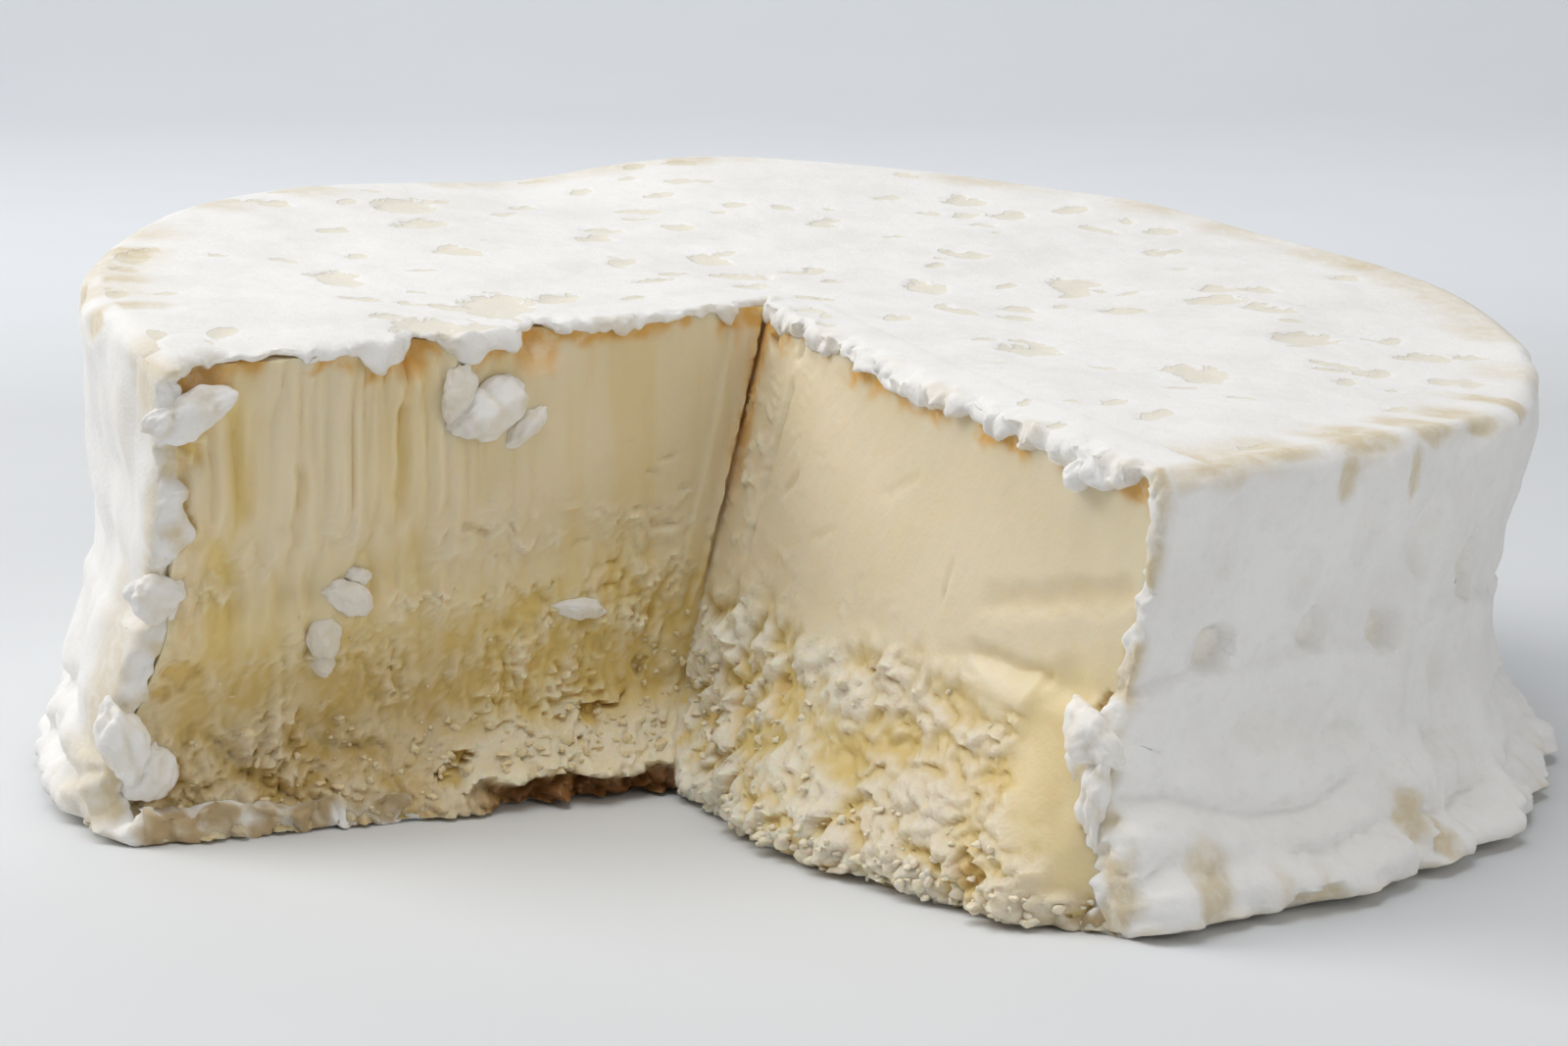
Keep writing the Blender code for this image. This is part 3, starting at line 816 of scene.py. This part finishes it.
def lip_stations():
    """Stations round the cut edge: right top, side and foot, then left foot, side and top."""
    stations = []
    for cut in (RIGHT, LEFT):
        rim = cut.rim()
        across = round(cut.frame(CENTRE_HEIGHT)[1].length / LIP_SPACING)
        down = round(rim / LIP_SPACING)
        loop = [("top", step / across, 0.0) for step in range(across)]
        loop += [("side", 1.0, step / down) for step in range(down)]
        loop += [("foot", 1.0 - step / across, 1.0) for step in range(across)]
        if cut is LEFT:
            loop = loop[:0:-1]
        for stretch, share, fall in loop:
            height = cut.crown(share) if stretch == "top" else rim * (1.0 - fall)
            place = cut.point(share, height)
            stations.append((place, cut.frame(height)[2], lip_size(cut, stretch, share, place)))
    return stations


def notch_depth(share):
    """How far the rind is torn back from the top edge of the left face."""
    return sum(depth * bell(share, centre, half_width) for centre, half_width, depth in LEFT_NOTCHES)


def lip_size(cut, stretch, share, place):
    """Overhang, drape, how much of a top and a foot edge it is, how far it stands back, how knobbly."""
    rag = ripple(place.x, place.y, place.z, 1.9)
    if stretch == "top":
        drape = along(DRAPE[cut.name], share)
        if cut is RIGHT:
            drape += 0.9 * ripple(place.x, place.y, 0.0, 3.2) + 0.8 * rag
            return Vector((0.55 + 0.12 * drape + 0.25 * rag, max(drape, 0.7), 1.0, 0.0, 0.0, 1.0))
        drape += 1.1 * rag
        return Vector((0.22 + 0.20 * drape + 0.3 * rag, max(drape, 0.4), 1.0, 0.0, notch_depth(share), 0.35))
    if stretch == "side":
        if cut is RIGHT:
            drape = 1.5 + 0.6 * rag + 2.4 * ease(17.0, 14.5, place.z)
            return Vector((0.40 + 0.3 * rag, drape, 0.0, 0.0, 0.0, 0.4))
        ragged = ripple(place.x, place.y, place.z, 5.0)
        drape = max(1.9 + 1.5 * ragged + 1.1 * rag, 1.6)
        return Vector((0.35 + 0.8 * ragged + 0.5 * rag, drape, 0.0, 0.0, 0.0, 0.5))
    back = 2.6 * ease(0.50, 0.30, share) if cut is LEFT else 0.0
    thick = 1.1 * ease(0.35, 0.6, share) if cut is LEFT else 0.2
    thick += 1.6 * ripple(place.x, place.y, 4.0, 3.6)
    return Vector((0.10 + 0.5 * rag, 1.1 + thick + 1.2 * rag, 0.0, 1.0, back, 1.0))


def averaged(values, half_window):
    """Moving average of vectors round a closed loop."""
    count = len(values)
    total = values[0] * 0.0
    for offset in range(-half_window, half_window + 1):
        total = total + values[offset % count]
    smooth = []
    for index in range(count):
        smooth.append(total / (2 * half_window + 1))
        total = total + values[(index + half_window + 1) % count] - values[(index - half_window) % count]
    return smooth


def lip_section(overhang, drape):
    """Outline of the lip as (outward, up, how far under): from inside the cheese round the nose and back."""
    return (
        (-7.0, -0.9, 0.0), (-5.8, -0.35, 0.0), (-4.9, -0.08, 0.0), (-4.2, 0.06, 0.0), (-3.4, 0.11, 0.0),
        (-2.3, 0.12, 0.0), (-1.1, 0.13, 0.0), (-0.5, 0.13, 0.0), (0.0, 0.10, 0.0),
        (0.45 * overhang, -0.02 * drape, 0.0), (0.78 * overhang, -0.12 * drape, 0.0),
        (0.96 * overhang, -0.28 * drape, 0.1), (1.04 * overhang, -0.46 * drape, 0.2),
        (1.05 * overhang, -0.64 * drape, 0.3), (0.98 * overhang, -0.80 * drape, 0.5),
        (0.80 * overhang, -0.93 * drape, 0.8), (0.50 * overhang, -1.0 * drape, 1.0),
        (0.05, -0.98 * drape, 1.0), (-0.6, -0.86 * drape, 1.0), (-1.4, -0.8 * drape - 0.3, 1.0),
        (-3.6, -2.2, 1.0),
    )


def rind_gap(place):
    """How far the smooth rind stands above a point and outside it, and its angle and rim there."""
    share = max(place.z, 0.0) / CENTRE_HEIGHT
    x = place.x - TOP_SHIFT[0] * share
    y = place.y - TOP_SHIFT[1] * share
    angle = math.degrees(math.atan2(y, x)) % 360.0
    angle -= 360.0 if angle > 270.0 else 0.0
    rim = rim_height(angle)
    side = side_point(angle, max(place.z, 0.0), rim)
    crown = top_height(place.x, place.y)
    crown += (rim - crown) * min(math.hypot(x, y) / (RIM_RADIUS - RIM_ROUNDING), 1.0) ** 12
    above = crown - place.z
    return above, math.hypot(side.x, side.y) - math.hypot(place.x, place.y), angle, rim


def lip_ring(place, outward, up, size):
    """One ring of the lip: its section, roughened by lumps, with how tan each point is."""
    overhang, drape, is_top, is_foot, back, knobs = size
    is_side = max(1.0 - is_top - is_foot, 0.0)
    ring = []
    for out, over, under in lip_section(max(overhang, 0.15), max(drape, 0.4)):
        nose = ease(-1.0, 0.3, out)
        spot = place + outward * (out - back)
        hold = ease(0.6, -0.8, out)
        bare, worn = -1.0, 0.0
        if hold > 0.0:
            spot_above, spot_beside, angle, rim = rind_gap(spot)
            fine, bare = top_detail(spot.x, spot.y)
            reach, worn = side_detail(angle, spot.z, rim)
            spot += Vector((0.0, 0.0, hold * is_top * (spot_above + fine * ease(0.0, 1.5, spot_beside))))
            radial = Vector((spot.x, spot.y, 0.0)).normalized()
            spot += radial * hold * is_side * (spot_beside + reach)
            bare = bare if is_top > 0.5 else -1.0
            worn *= hold * is_side
        spot += up * (over - 0.16 * is_foot)
        lumps = 0.45 * clump(spot.x, spot.y, spot.z, 2.4) + 0.35 * clump(spot.x, spot.y, spot.z, 1.1)
        spot += outward * nose * knobs * (lumps - 0.32)
        crumble = noise.noise_vector(spot / 1.7) * (0.35 + 0.25 * knobs)
        spot += (crumble + noise.noise_vector(spot / 0.7) * 0.2) * nose
        blotch = ripple(spot.x, spot.y, spot.z, 3.0)
        tan = max(0.8 * under * ease(-0.3, 0.3, blotch), nose * is_side * ease(-0.35, 0.2, blotch),
                  nose * is_foot * ease(-0.6, 0.1, blotch + 0.5 * ripple(spot.z, spot.x, spot.y, 1.5)))
        spot.z = max(spot.z, 0.02)
        tan = max(tan, 0.35 * nose * is_top * ease(-0.1, 0.4, blotch))
        # Darker brown along the foot: partly the rind's own colour, partly painted shade at the foot
        foot_brown_and_shade = is_foot * ease(-0.25, 0.25, blotch + 0.6 * ripple(spot.x, spot.z, spot.y, 1.2))
        ring.append((spot, (bare - nose, max(tan, worn), foot_brown_and_shade)))
    return ring + ring[:1]


def make_rind_lip(material):
    """The rind's own edge all round the cut, ragged and hanging a little over the paste."""
    stations = lip_stations()
    places = averaged([station[0] for station in stations], 1)
    outwards = averaged([station[1] for station in stations], LIP_HALF_WINDOW)
    sizes = averaged([station[2] for station in stations], 1)
    count = len(stations)
    rows = []
    for index in range(count):
        course = (places[(index + 1) % count] - places[index - 1]).normalized()
        up = outwards[index].cross(course).normalized()
        rows.append(lip_ring(places[index], course.cross(up), up, sizes[index]))
    rows.append(rows[0])
    mesh = bmesh.new()
    lay_sheet(mesh, rows, RIND_MARKS)
    bmesh.ops.remove_doubles(mesh, verts=mesh.verts, dist=MERGE_DISTANCE)
    return finish_piece("rind_lip", mesh, material)


# Curled bits of rind, as (cut, share, height, half length, half width, half depth, way its length
# points in degrees up from the run to the side, how far it arches out, how tan it is)
CURLS = (
    (LEFT, 0.475, 33.6, 3.9, 2.3, 1.5, 150, 1.2, 0.10), (LEFT, 0.53, 35.6, 2.6, 1.5, 1.1, 100, 0.6, 0.45),
    (LEFT, 0.40, 31.8, 2.4, 1.1, 0.9, 145, 0.4, 0.15), (LEFT, 0.955, 36.2, 4.2, 1.8, 1.2, 163, 1.0, 0.0),
    (LEFT, 0.995, 20.6, 2.3, 2.0, 1.2, 20, 0.4, 0.0), (LEFT, 0.675, 18.6, 2.5, 1.3, 1.0, 25, 0.5, 0.40),
    (LEFT, 0.70, 15.6, 1.9, 1.3, 0.9, 75, 0.4, 0.60), (LEFT, 0.655, 20.4, 1.2, 0.7, 0.6, 10, 0.2, 0.3),
    (LEFT, 0.685, 13.2, 1.1, 0.8, 0.6, 60, 0.2, 0.6), (LEFT, 0.985, 8.2, 3.8, 1.9, 1.6, 75, 0.8, 0.05),
    (LEFT, 0.93, 5.4, 2.8, 1.7, 1.3, 120, 0.6, 0.20), (LEFT, 0.24, 15.2, 2.6, 0.9, 0.8, 10, 0.5, 0.0),
    (RIGHT, 0.985, 15.2, 3.2, 1.9, 1.5, -38, 0.8, 0.15), (RIGHT, 0.985, 10.4, 3.8, 1.3, 1.0, 82, 0.3, 0.10),
    (RIGHT, 0.845, 33.9, 1.2, 1.0, 0.9, 60, 0.3, 0.0),
)


def lay_curl(mesh, curl, layers):
    """A lumpy torn bit that clings to the face: an arched ellipsoid with folds and crumbs."""
    cut, share, height, length, width, depth, way, arch, tan = curl
    turn = math.radians(way)
    run, outward = cut.frame(height)[1:]
    lengthwise = run.normalized() * math.cos(turn) + Vector((0.0, 0.0, math.sin(turn)))
    widthwise = lengthwise.cross(outward)
    root = cut.point(share, height) + outward * 0.35 * depth
    made = bmesh.ops.create_icosphere(mesh, subdivisions=CURL_FINENESS, radius=1.0)
    for corner in made["verts"]:
        ball = corner.co.copy()
        seed = ball * 1.3 + root * 0.37
        spread = 1.0 + 0.22 * noise.noise(seed) + 0.10 * noise.noise(seed * 2.3)
        narrow = 1.0 - 0.2 * ball.x ** 2
        spot = root + lengthwise * ball.x * length * spread + widthwise * ball.y * width * spread * narrow
        spot += outward * (ball.z * depth * spread + arch * (1.0 - ball.x ** 2) - 0.3 * arch)
        away = (lengthwise * ball.x + widthwise * ball.y + outward * ball.z).normalized()
        lumps = 0.35 * clump(spot.x, spot.y, spot.z, 3.4) + 0.14 * clump(spot.x, spot.y, spot.z, 1.5)
        spot += away * (lumps - 0.2 + 0.45 * ripple(spot.y, spot.z, spot.x, 2.6))
        spot += noise.noise_vector(spot / 0.9) * 0.08
        spot.z = max(spot.z, 0.05)
        corner.co = spot * MM
        corner[layers[0]] = -1.0
        # Tan: the curl's own tan, more in the folds between its lumps, and on its underside as painted shade
        corner[layers[1]] = max(tan, 0.45 * ease(0.35, 0.05, lumps), 0.7 * ease(-0.2, -0.7, ball.z))


def make_rind_curls(material):
    """Bits of rind that the knife dragged and left curled on the faces."""
    mesh = bmesh.new()
    layers = [mesh.verts.layers.float.new(name) for name in RIND_MARKS]
    for curl in CURLS:
        lay_curl(mesh, curl, layers)
    return finish_piece("rind_curls", mesh, material)


# Crumbs, as (cut, low share, high share, low height, high height, count, smallest, largest radius)
CRUMB_ZONES = (
    (RIGHT, 0.06, 0.50, 1.0, 13.0, 60, 0.15, 0.55), (RIGHT, 0.45, 0.86, 0.6, 6.0, 40, 0.15, 0.55),
    (RIGHT, 0.10, 0.82, 10.0, 15.5, 20, 0.10, 0.26), (RIGHT, 0.15, 0.97, 0.5, 2.8, 85, 0.3, 0.8),
    (LEFT, 0.03, 0.45, 3.0, 7.0, 70, 0.20, 0.6), (LEFT, 0.45, 0.96, 1.5, 8.5, 40, 0.14, 0.5),
    (LEFT, 0.05, 0.90, 7.0, 19.0, 20, 0.12, 0.26), (RIGHT, 0.01, 0.10, 0.8, 14.0, 30, 0.2, 0.5),
    (LEFT, 0.01, 0.10, 3.0, 14.0, 25, 0.2, 0.5),
)


def make_crumbs(material):
    """Flaky crumbs of paste that cling to the torn faces."""
    draw = random.Random(11)
    mesh = bmesh.new()
    layers = [mesh.verts.layers.float.new(name) for name in PASTE_MARKS]
    for cut, low_share, high_share, low, high, count, smallest, largest in CRUMB_ZONES:
        for _ in range(count // COARSE):
            share = draw.uniform(low_share, high_share)
            height = draw.uniform(low, high)
            radius = smallest + (largest - smallest) * draw.random() ** 2
            place = paste_point(cut, share, height, cut.crown(share))[0]
            centre = place + cut.frame(height)[2] * radius * draw.uniform(-0.2, 0.4)
            centre.z = max(centre.z, radius * 1.2)
            stretch = Vector((draw.uniform(0.6, 1.3), draw.uniform(0.6, 1.3), draw.uniform(0.45, 1.0)))
            made = bmesh.ops.create_icosphere(mesh, subdivisions=CRUMB_FINENESS, radius=radius)
            for corner in made["verts"]:
                bump = 1.0 + 0.9 * ripple(*((corner.co + centre) / radius), 1.1)
                corner.co = (centre + corner.co * stretch * bump) * MM
                # Crumbs on the left face get more deep yellow and less paleness than those on the right, as
                # painted shade of that face
                corner[layers[1]] = 0.7 if cut is RIGHT else 0.4
                corner[layers[2]] = 0.4 if cut is RIGHT else 0.75
    return finish_piece("crumbs", mesh, material)


# Materials

def linear(hex_colour):
    """Linear colour of an sRGB hex code."""
    parts = [int(hex_colour[index:index + 2], 16) / 255.0 for index in (0, 2, 4)]
    return [part / 12.92 if part <= 0.04045 else ((part + 0.055) / 1.055) ** 2.4 for part in parts] + [1.0]


def per_mm(size):
    """Texture scale at which a pattern repeats about every size millimetres."""
    return 1.0 / (size * MM)


def add_node(material, kind, inputs, **settings):
    """Add a shader node, set its options, and set or link each of its inputs."""
    node = material.node_tree.nodes.new(kind)
    for option, value in settings.items():
        setattr(node, option, value)
    for name, value in inputs.items():
        if isinstance(value, bpy.types.NodeSocket):
            material.node_tree.links.new(value, node.inputs[name])
        else:
            node.inputs[name].default_value = value
    return node


def new_material(name):
    """An empty procedural material."""
    material = bpy.data.materials.new(name)
    material.use_nodes = True
    material.node_tree.nodes.clear()
    return material


def pattern(material, size, detail=3.0, roughness=0.55, distortion=0.0):
    """Noise over the piece whose blotches are about size millimetres."""
    place = add_node(material, "ShaderNodeTexCoord", {}).outputs["Object"]
    values = {"Vector": place, "Scale": per_mm(size), "Detail": detail, "Roughness": roughness,
              "Distortion": distortion}
    return add_node(material, "ShaderNodeTexNoise", values).outputs["Fac"]


def mark(material, name):
    """One of the float marks kept on the mesh."""
    return add_node(material, "ShaderNodeAttribute", {}, attribute_name=name).outputs["Fac"]


def stretch_range(material, value, low, high, bottom=0.0, top=1.0):
    """Map low..high to bottom..top, smoothly and without going past."""
    values = {"Value": value, "From Min": low, "From Max": high, "To Min": bottom, "To Max": top}
    return add_node(material, "ShaderNodeMapRange", values, interpolation_type="SMOOTHSTEP").outputs["Result"]


def combine(material, operation, first, second):
    """Arithmetic on two values."""
    values = {0: first, 1: second}
    return add_node(material, "ShaderNodeMath", values, operation=operation).outputs["Value"]


def blend(material, share, first, second):
    """Mix two colours by a share."""
    values = {"Factor": share, 6: first, 7: second}
    return add_node(material, "ShaderNodeMix", values, data_type="RGBA").outputs[2]


# How far light glows through a slab of paste and through a crumb
PASTE_GLOW, CRUMB_GLOW = 1.1, 0.15
# Colours of the finishes
MOULD_WHITE, MOULD_SHADE, MOULD_FLECK = "F6F5F3", "EAE8E5", "E4E1DC"
BARE_IVORY, TAN_WEAR_AND_SHADE, BROWN_FOOT_AND_SHADE = "EAE5D7", "DACBAB", "BCA57F"
PASTE_CREAM, PASTE_CLOUD, PASTE_YELLOW_AND_SHADE = "EBE1CB", "E8DDC3", "E3C97F"
PASTE_TORN_AND_LIT, PASTE_AMBER, PASTE_SHADE = "F3ECDA", "DFAE5C", "7D5024"
PAPER_LIGHT, PAPER_DARK = "DFE1E4", "DBDEE1"


def bloomy_rind():
    """White mould rind: chalky and velvety, near white, ivory where bare, tan where it is worn and as painted
    shade under the curls, and browner at the foot, partly as painted shade.
    """
    material = new_material("bloomy_rind")
    mottle = stretch_range(material, pattern(material, 8.0, 4.0), 0.40, 0.66, 0.0, 0.5)
    flecks = stretch_range(material, pattern(material, 1.1, 3.0), 0.50, 0.72, 0.0, 0.22)
    wobble = stretch_range(material, pattern(material, 1.5, 2.0), 0.3, 0.7, -0.35, 0.35)
    bare = stretch_range(material, combine(material, "ADD", mark(material, "bare"), wobble), 0.0, 0.16)
    patches = stretch_range(material, pattern(material, 1.4), 0.3, 0.6, 0.55, 1.0)
    tan = combine(material, "MULTIPLY", mark(material, "tan"), patches)
    colour = blend(material, mottle, linear(MOULD_WHITE), linear(MOULD_SHADE))
    colour = blend(material, flecks, colour, linear(MOULD_FLECK))
    colour = blend(material, bare, colour, linear(BARE_IVORY))
    # Tan: the rind's worn tan, with painted shade on the undersides of the curls
    colour = blend(material, tan, colour, linear(TAN_WEAR_AND_SHADE))
    # The foot's darker brown: partly the rind's own colour, partly painted shade
    colour = blend(material, mark(material, "foot_brown_and_shade"), colour, linear(BROWN_FOOT_AND_SHADE))
    grain = combine(material, "ADD", pattern(material, 0.35, 2.0), pattern(material, 1.3, 2.0))
    height = combine(material, "SUBTRACT", combine(material, "MULTIPLY", grain, 0.6), bare)
    bump = add_node(material, "ShaderNodeBump", {"Strength": 0.5, "Distance": 0.22 * MM, "Height": height})
    values = {"Base Color": colour, "Roughness": 0.85, "IOR": 1.45, "Specular IOR Level": 0.25,
              "Subsurface Weight": 0.12, "Subsurface Scale": 0.6 * MM,
              "Subsurface Radius": (1.0, 0.85, 0.7),
              "Sheen Weight": 0.12, "Sheen Roughness": 0.5, "Normal": bump.outputs["Normal"]}
    shader = add_node(material, "ShaderNodeBsdfPrincipled", values)
    add_node(material, "ShaderNodeOutputMaterial", {"Surface": shader.outputs["BSDF"]})
    return material


def cheese_paste(name, glow):
    """Soft triple-cream paste: cream and a little moist, amber at the rind; its deep yellow is partly painted
    shade, its paleness partly painted light, and its shade mark is painted shade.

    Light glows through it as far as glow, in millimetres, which is less in small crumbs.
    """
    material = new_material(name)
    cloud = stretch_range(material, pattern(material, 9.0, 3.0), 0.35, 0.65)
    patches = stretch_range(material, pattern(material, 1.5), 0.3, 0.55, 0.4, 1.0)
    amber = combine(material, "MULTIPLY", mark(material, "amber"), patches)
    colour = blend(material, cloud, linear(PASTE_CREAM), linear(PASTE_CLOUD))
    # Deep yellow: partly the paste's own yellow, partly painted shade
    colour = blend(material, mark(material, "deep"), colour, linear(PASTE_YELLOW_AND_SHADE))
    # Torn paleness: partly the torn curd's own colour, partly painted light on lump tops
    colour = blend(material, mark(material, "torn"), colour, linear(PASTE_TORN_AND_LIT))
    colour = blend(material, amber, colour, linear(PASTE_AMBER))
    colour = blend(material, mark(material, "shade"), colour, linear(PASTE_SHADE))
    grain = combine(material, "ADD", pattern(material, 0.45, 3.0), pattern(material, 1.4, 2.0))
    strength = stretch_range(material, mark(material, "torn"), 0.0, 0.5, 0.12, 0.4)
    relief = {"Strength": strength, "Distance": 0.35 * MM, "Height": grain}
    bump = add_node(material, "ShaderNodeBump", relief)
    values = {"Base Color": colour, "Roughness": 0.38, "IOR": 1.45, "Specular IOR Level": 0.5,
              "Subsurface Weight": 0.6, "Subsurface Scale": glow * MM,
              "Subsurface Radius": (1.0, 0.7, 0.35), "Normal": bump.outputs["Normal"]}
    shader = add_node(material, "ShaderNodeBsdfPrincipled", values)
    add_node(material, "ShaderNodeOutputMaterial", {"Surface": shader.outputs["BSDF"]})
    return material


def studio_paper():
    """Pale matte paper of the floor and backdrop."""
    material = new_material("studio_paper")
    grain = pattern(material, 40.0, 2.0)
    colour = blend(material, grain, linear(PAPER_DARK), linear(PAPER_LIGHT))
    shader = add_node(material, "ShaderNodeBsdfPrincipled", {"Base Color": colour, "Roughness": 0.9})
    add_node(material, "ShaderNodeOutputMaterial", {"Surface": shader.outputs["BSDF"]})
    return material


# Studio

# The paper sweep
BACKDROP_HALF_WIDTH, FLOOR_FRONT, BACKDROP_TOP = 1600.0, -900.0, 1600.0
BEND_START, BEND_RADIUS, BEND_STEPS = 500.0, 400.0, 24
# The photo's view: place in metres, turns in degrees, lens in millimetres
CAMERA_PLACE = (0.0, -0.3782, 0.09793)
CAMERA_YAW, CAMERA_PITCH, CAMERA_ROLL = -0.0695, 11.585, -0.127
SENSOR_WIDTH, FOCAL_LENGTH = 36.0, 101.25


def make_backdrop(material):
    """A floor that curves up into a backdrop, all one sheet of paper."""
    rows = []
    for x in (-BACKDROP_HALF_WIDTH, BACKDROP_HALF_WIDTH):
        row = [(Vector((x, FLOOR_FRONT, 0.0)), ())]
        for step in range(BEND_STEPS + 1):
            turn = math.radians(90.0 * step / BEND_STEPS)
            back = BEND_START + BEND_RADIUS * math.sin(turn)
            row.append((Vector((x, back, BEND_RADIUS * (1.0 - math.cos(turn)))), ()))
        row.append((Vector((x, BEND_START + BEND_RADIUS, BACKDROP_TOP)), ()))
        rows.append(row)
    mesh = bmesh.new()
    lay_sheet(mesh, rows)
    add_object("backdrop", mesh, material)


def add_softbox(name, place, aim, size, power, hex_colour):
    """A square area light at a place, in metres, that looks at a point."""
    light = bpy.data.lights.new(name, "AREA")
    light.shape = "SQUARE"
    light.size = size
    light.energy = power
    light.color = linear(hex_colour)[:3]
    lamp = bpy.data.objects.new(name, light)
    lamp.location = place
    lamp.rotation_euler = (Vector(aim) - Vector(place)).to_track_quat("-Z", "Y").to_euler()
    bpy.context.scene.collection.objects.link(lamp)


def add_camera():
    """The photo's view: low, straight on, from about a third of a metre."""
    yaw, pitch, roll = [math.radians(turn) for turn in (CAMERA_YAW, CAMERA_PITCH, CAMERA_ROLL)]
    forward = Vector((math.sin(yaw) * math.cos(pitch), math.cos(yaw) * math.cos(pitch), -math.sin(pitch)))
    level = Vector((math.cos(yaw), -math.sin(yaw), 0.0))
    above = level.cross(forward)
    right = level * math.cos(roll) + above * math.sin(roll)
    up = above * math.cos(roll) - level * math.sin(roll)
    camera = bpy.data.cameras.new("camera")
    camera.sensor_width = SENSOR_WIDTH
    camera.lens = FOCAL_LENGTH
    holder = bpy.data.objects.new("camera", camera)
    turned = Matrix((right, up, -forward)).transposed().to_4x4()
    holder.matrix_world = Matrix.Translation(CAMERA_PLACE) @ turned
    bpy.context.scene.collection.objects.link(holder)
    bpy.context.scene.camera = holder


def light_studio():
    """Soft daylight from the left and above, a weak fill from the front, and a pale surround."""
    aim = (0.0, 0.0, 0.02)
    add_softbox("key", (-0.50, 0.10, 0.42), aim, 0.40, 2.3, "FFFDFA")
    add_softbox("overhead", (-0.08, -0.12, 0.75), aim, 0.55, 2.5, "FFFFFF")
    add_softbox("fill", (0.55, -0.45, 0.30), aim, 0.5, 1.05, "FFFDFA")
    add_softbox("backdrop wash", (0.0, 0.2, 0.5), (0.0, 1.0, 0.45), 0.6, 2.0, "F4F8FF")
    world = bpy.data.worlds.new("surround")
    world.use_nodes = True
    background = world.node_tree.nodes["Background"]
    background.inputs["Color"].default_value = linear("EFEFEF")
    background.inputs["Strength"].default_value = 0.25
    bpy.context.scene.world = world
    bpy.context.scene.view_settings.view_transform = "Standard"


rind_finish = bloomy_rind()
paste_finish = cheese_paste("cheese_paste", PASTE_GLOW)
crumb_finish = cheese_paste("cheese_crumb", CRUMB_GLOW)
round_pieces = [
    make_rind(rind_finish),
    make_rind_lip(rind_finish),
    make_rind_curls(rind_finish),
    make_paste(paste_finish),
    make_crumbs(crumb_finish),
]
for piece in round_pieces:
    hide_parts(NODE)
make_backdrop(studio_paper())
light_studio()
add_camera()
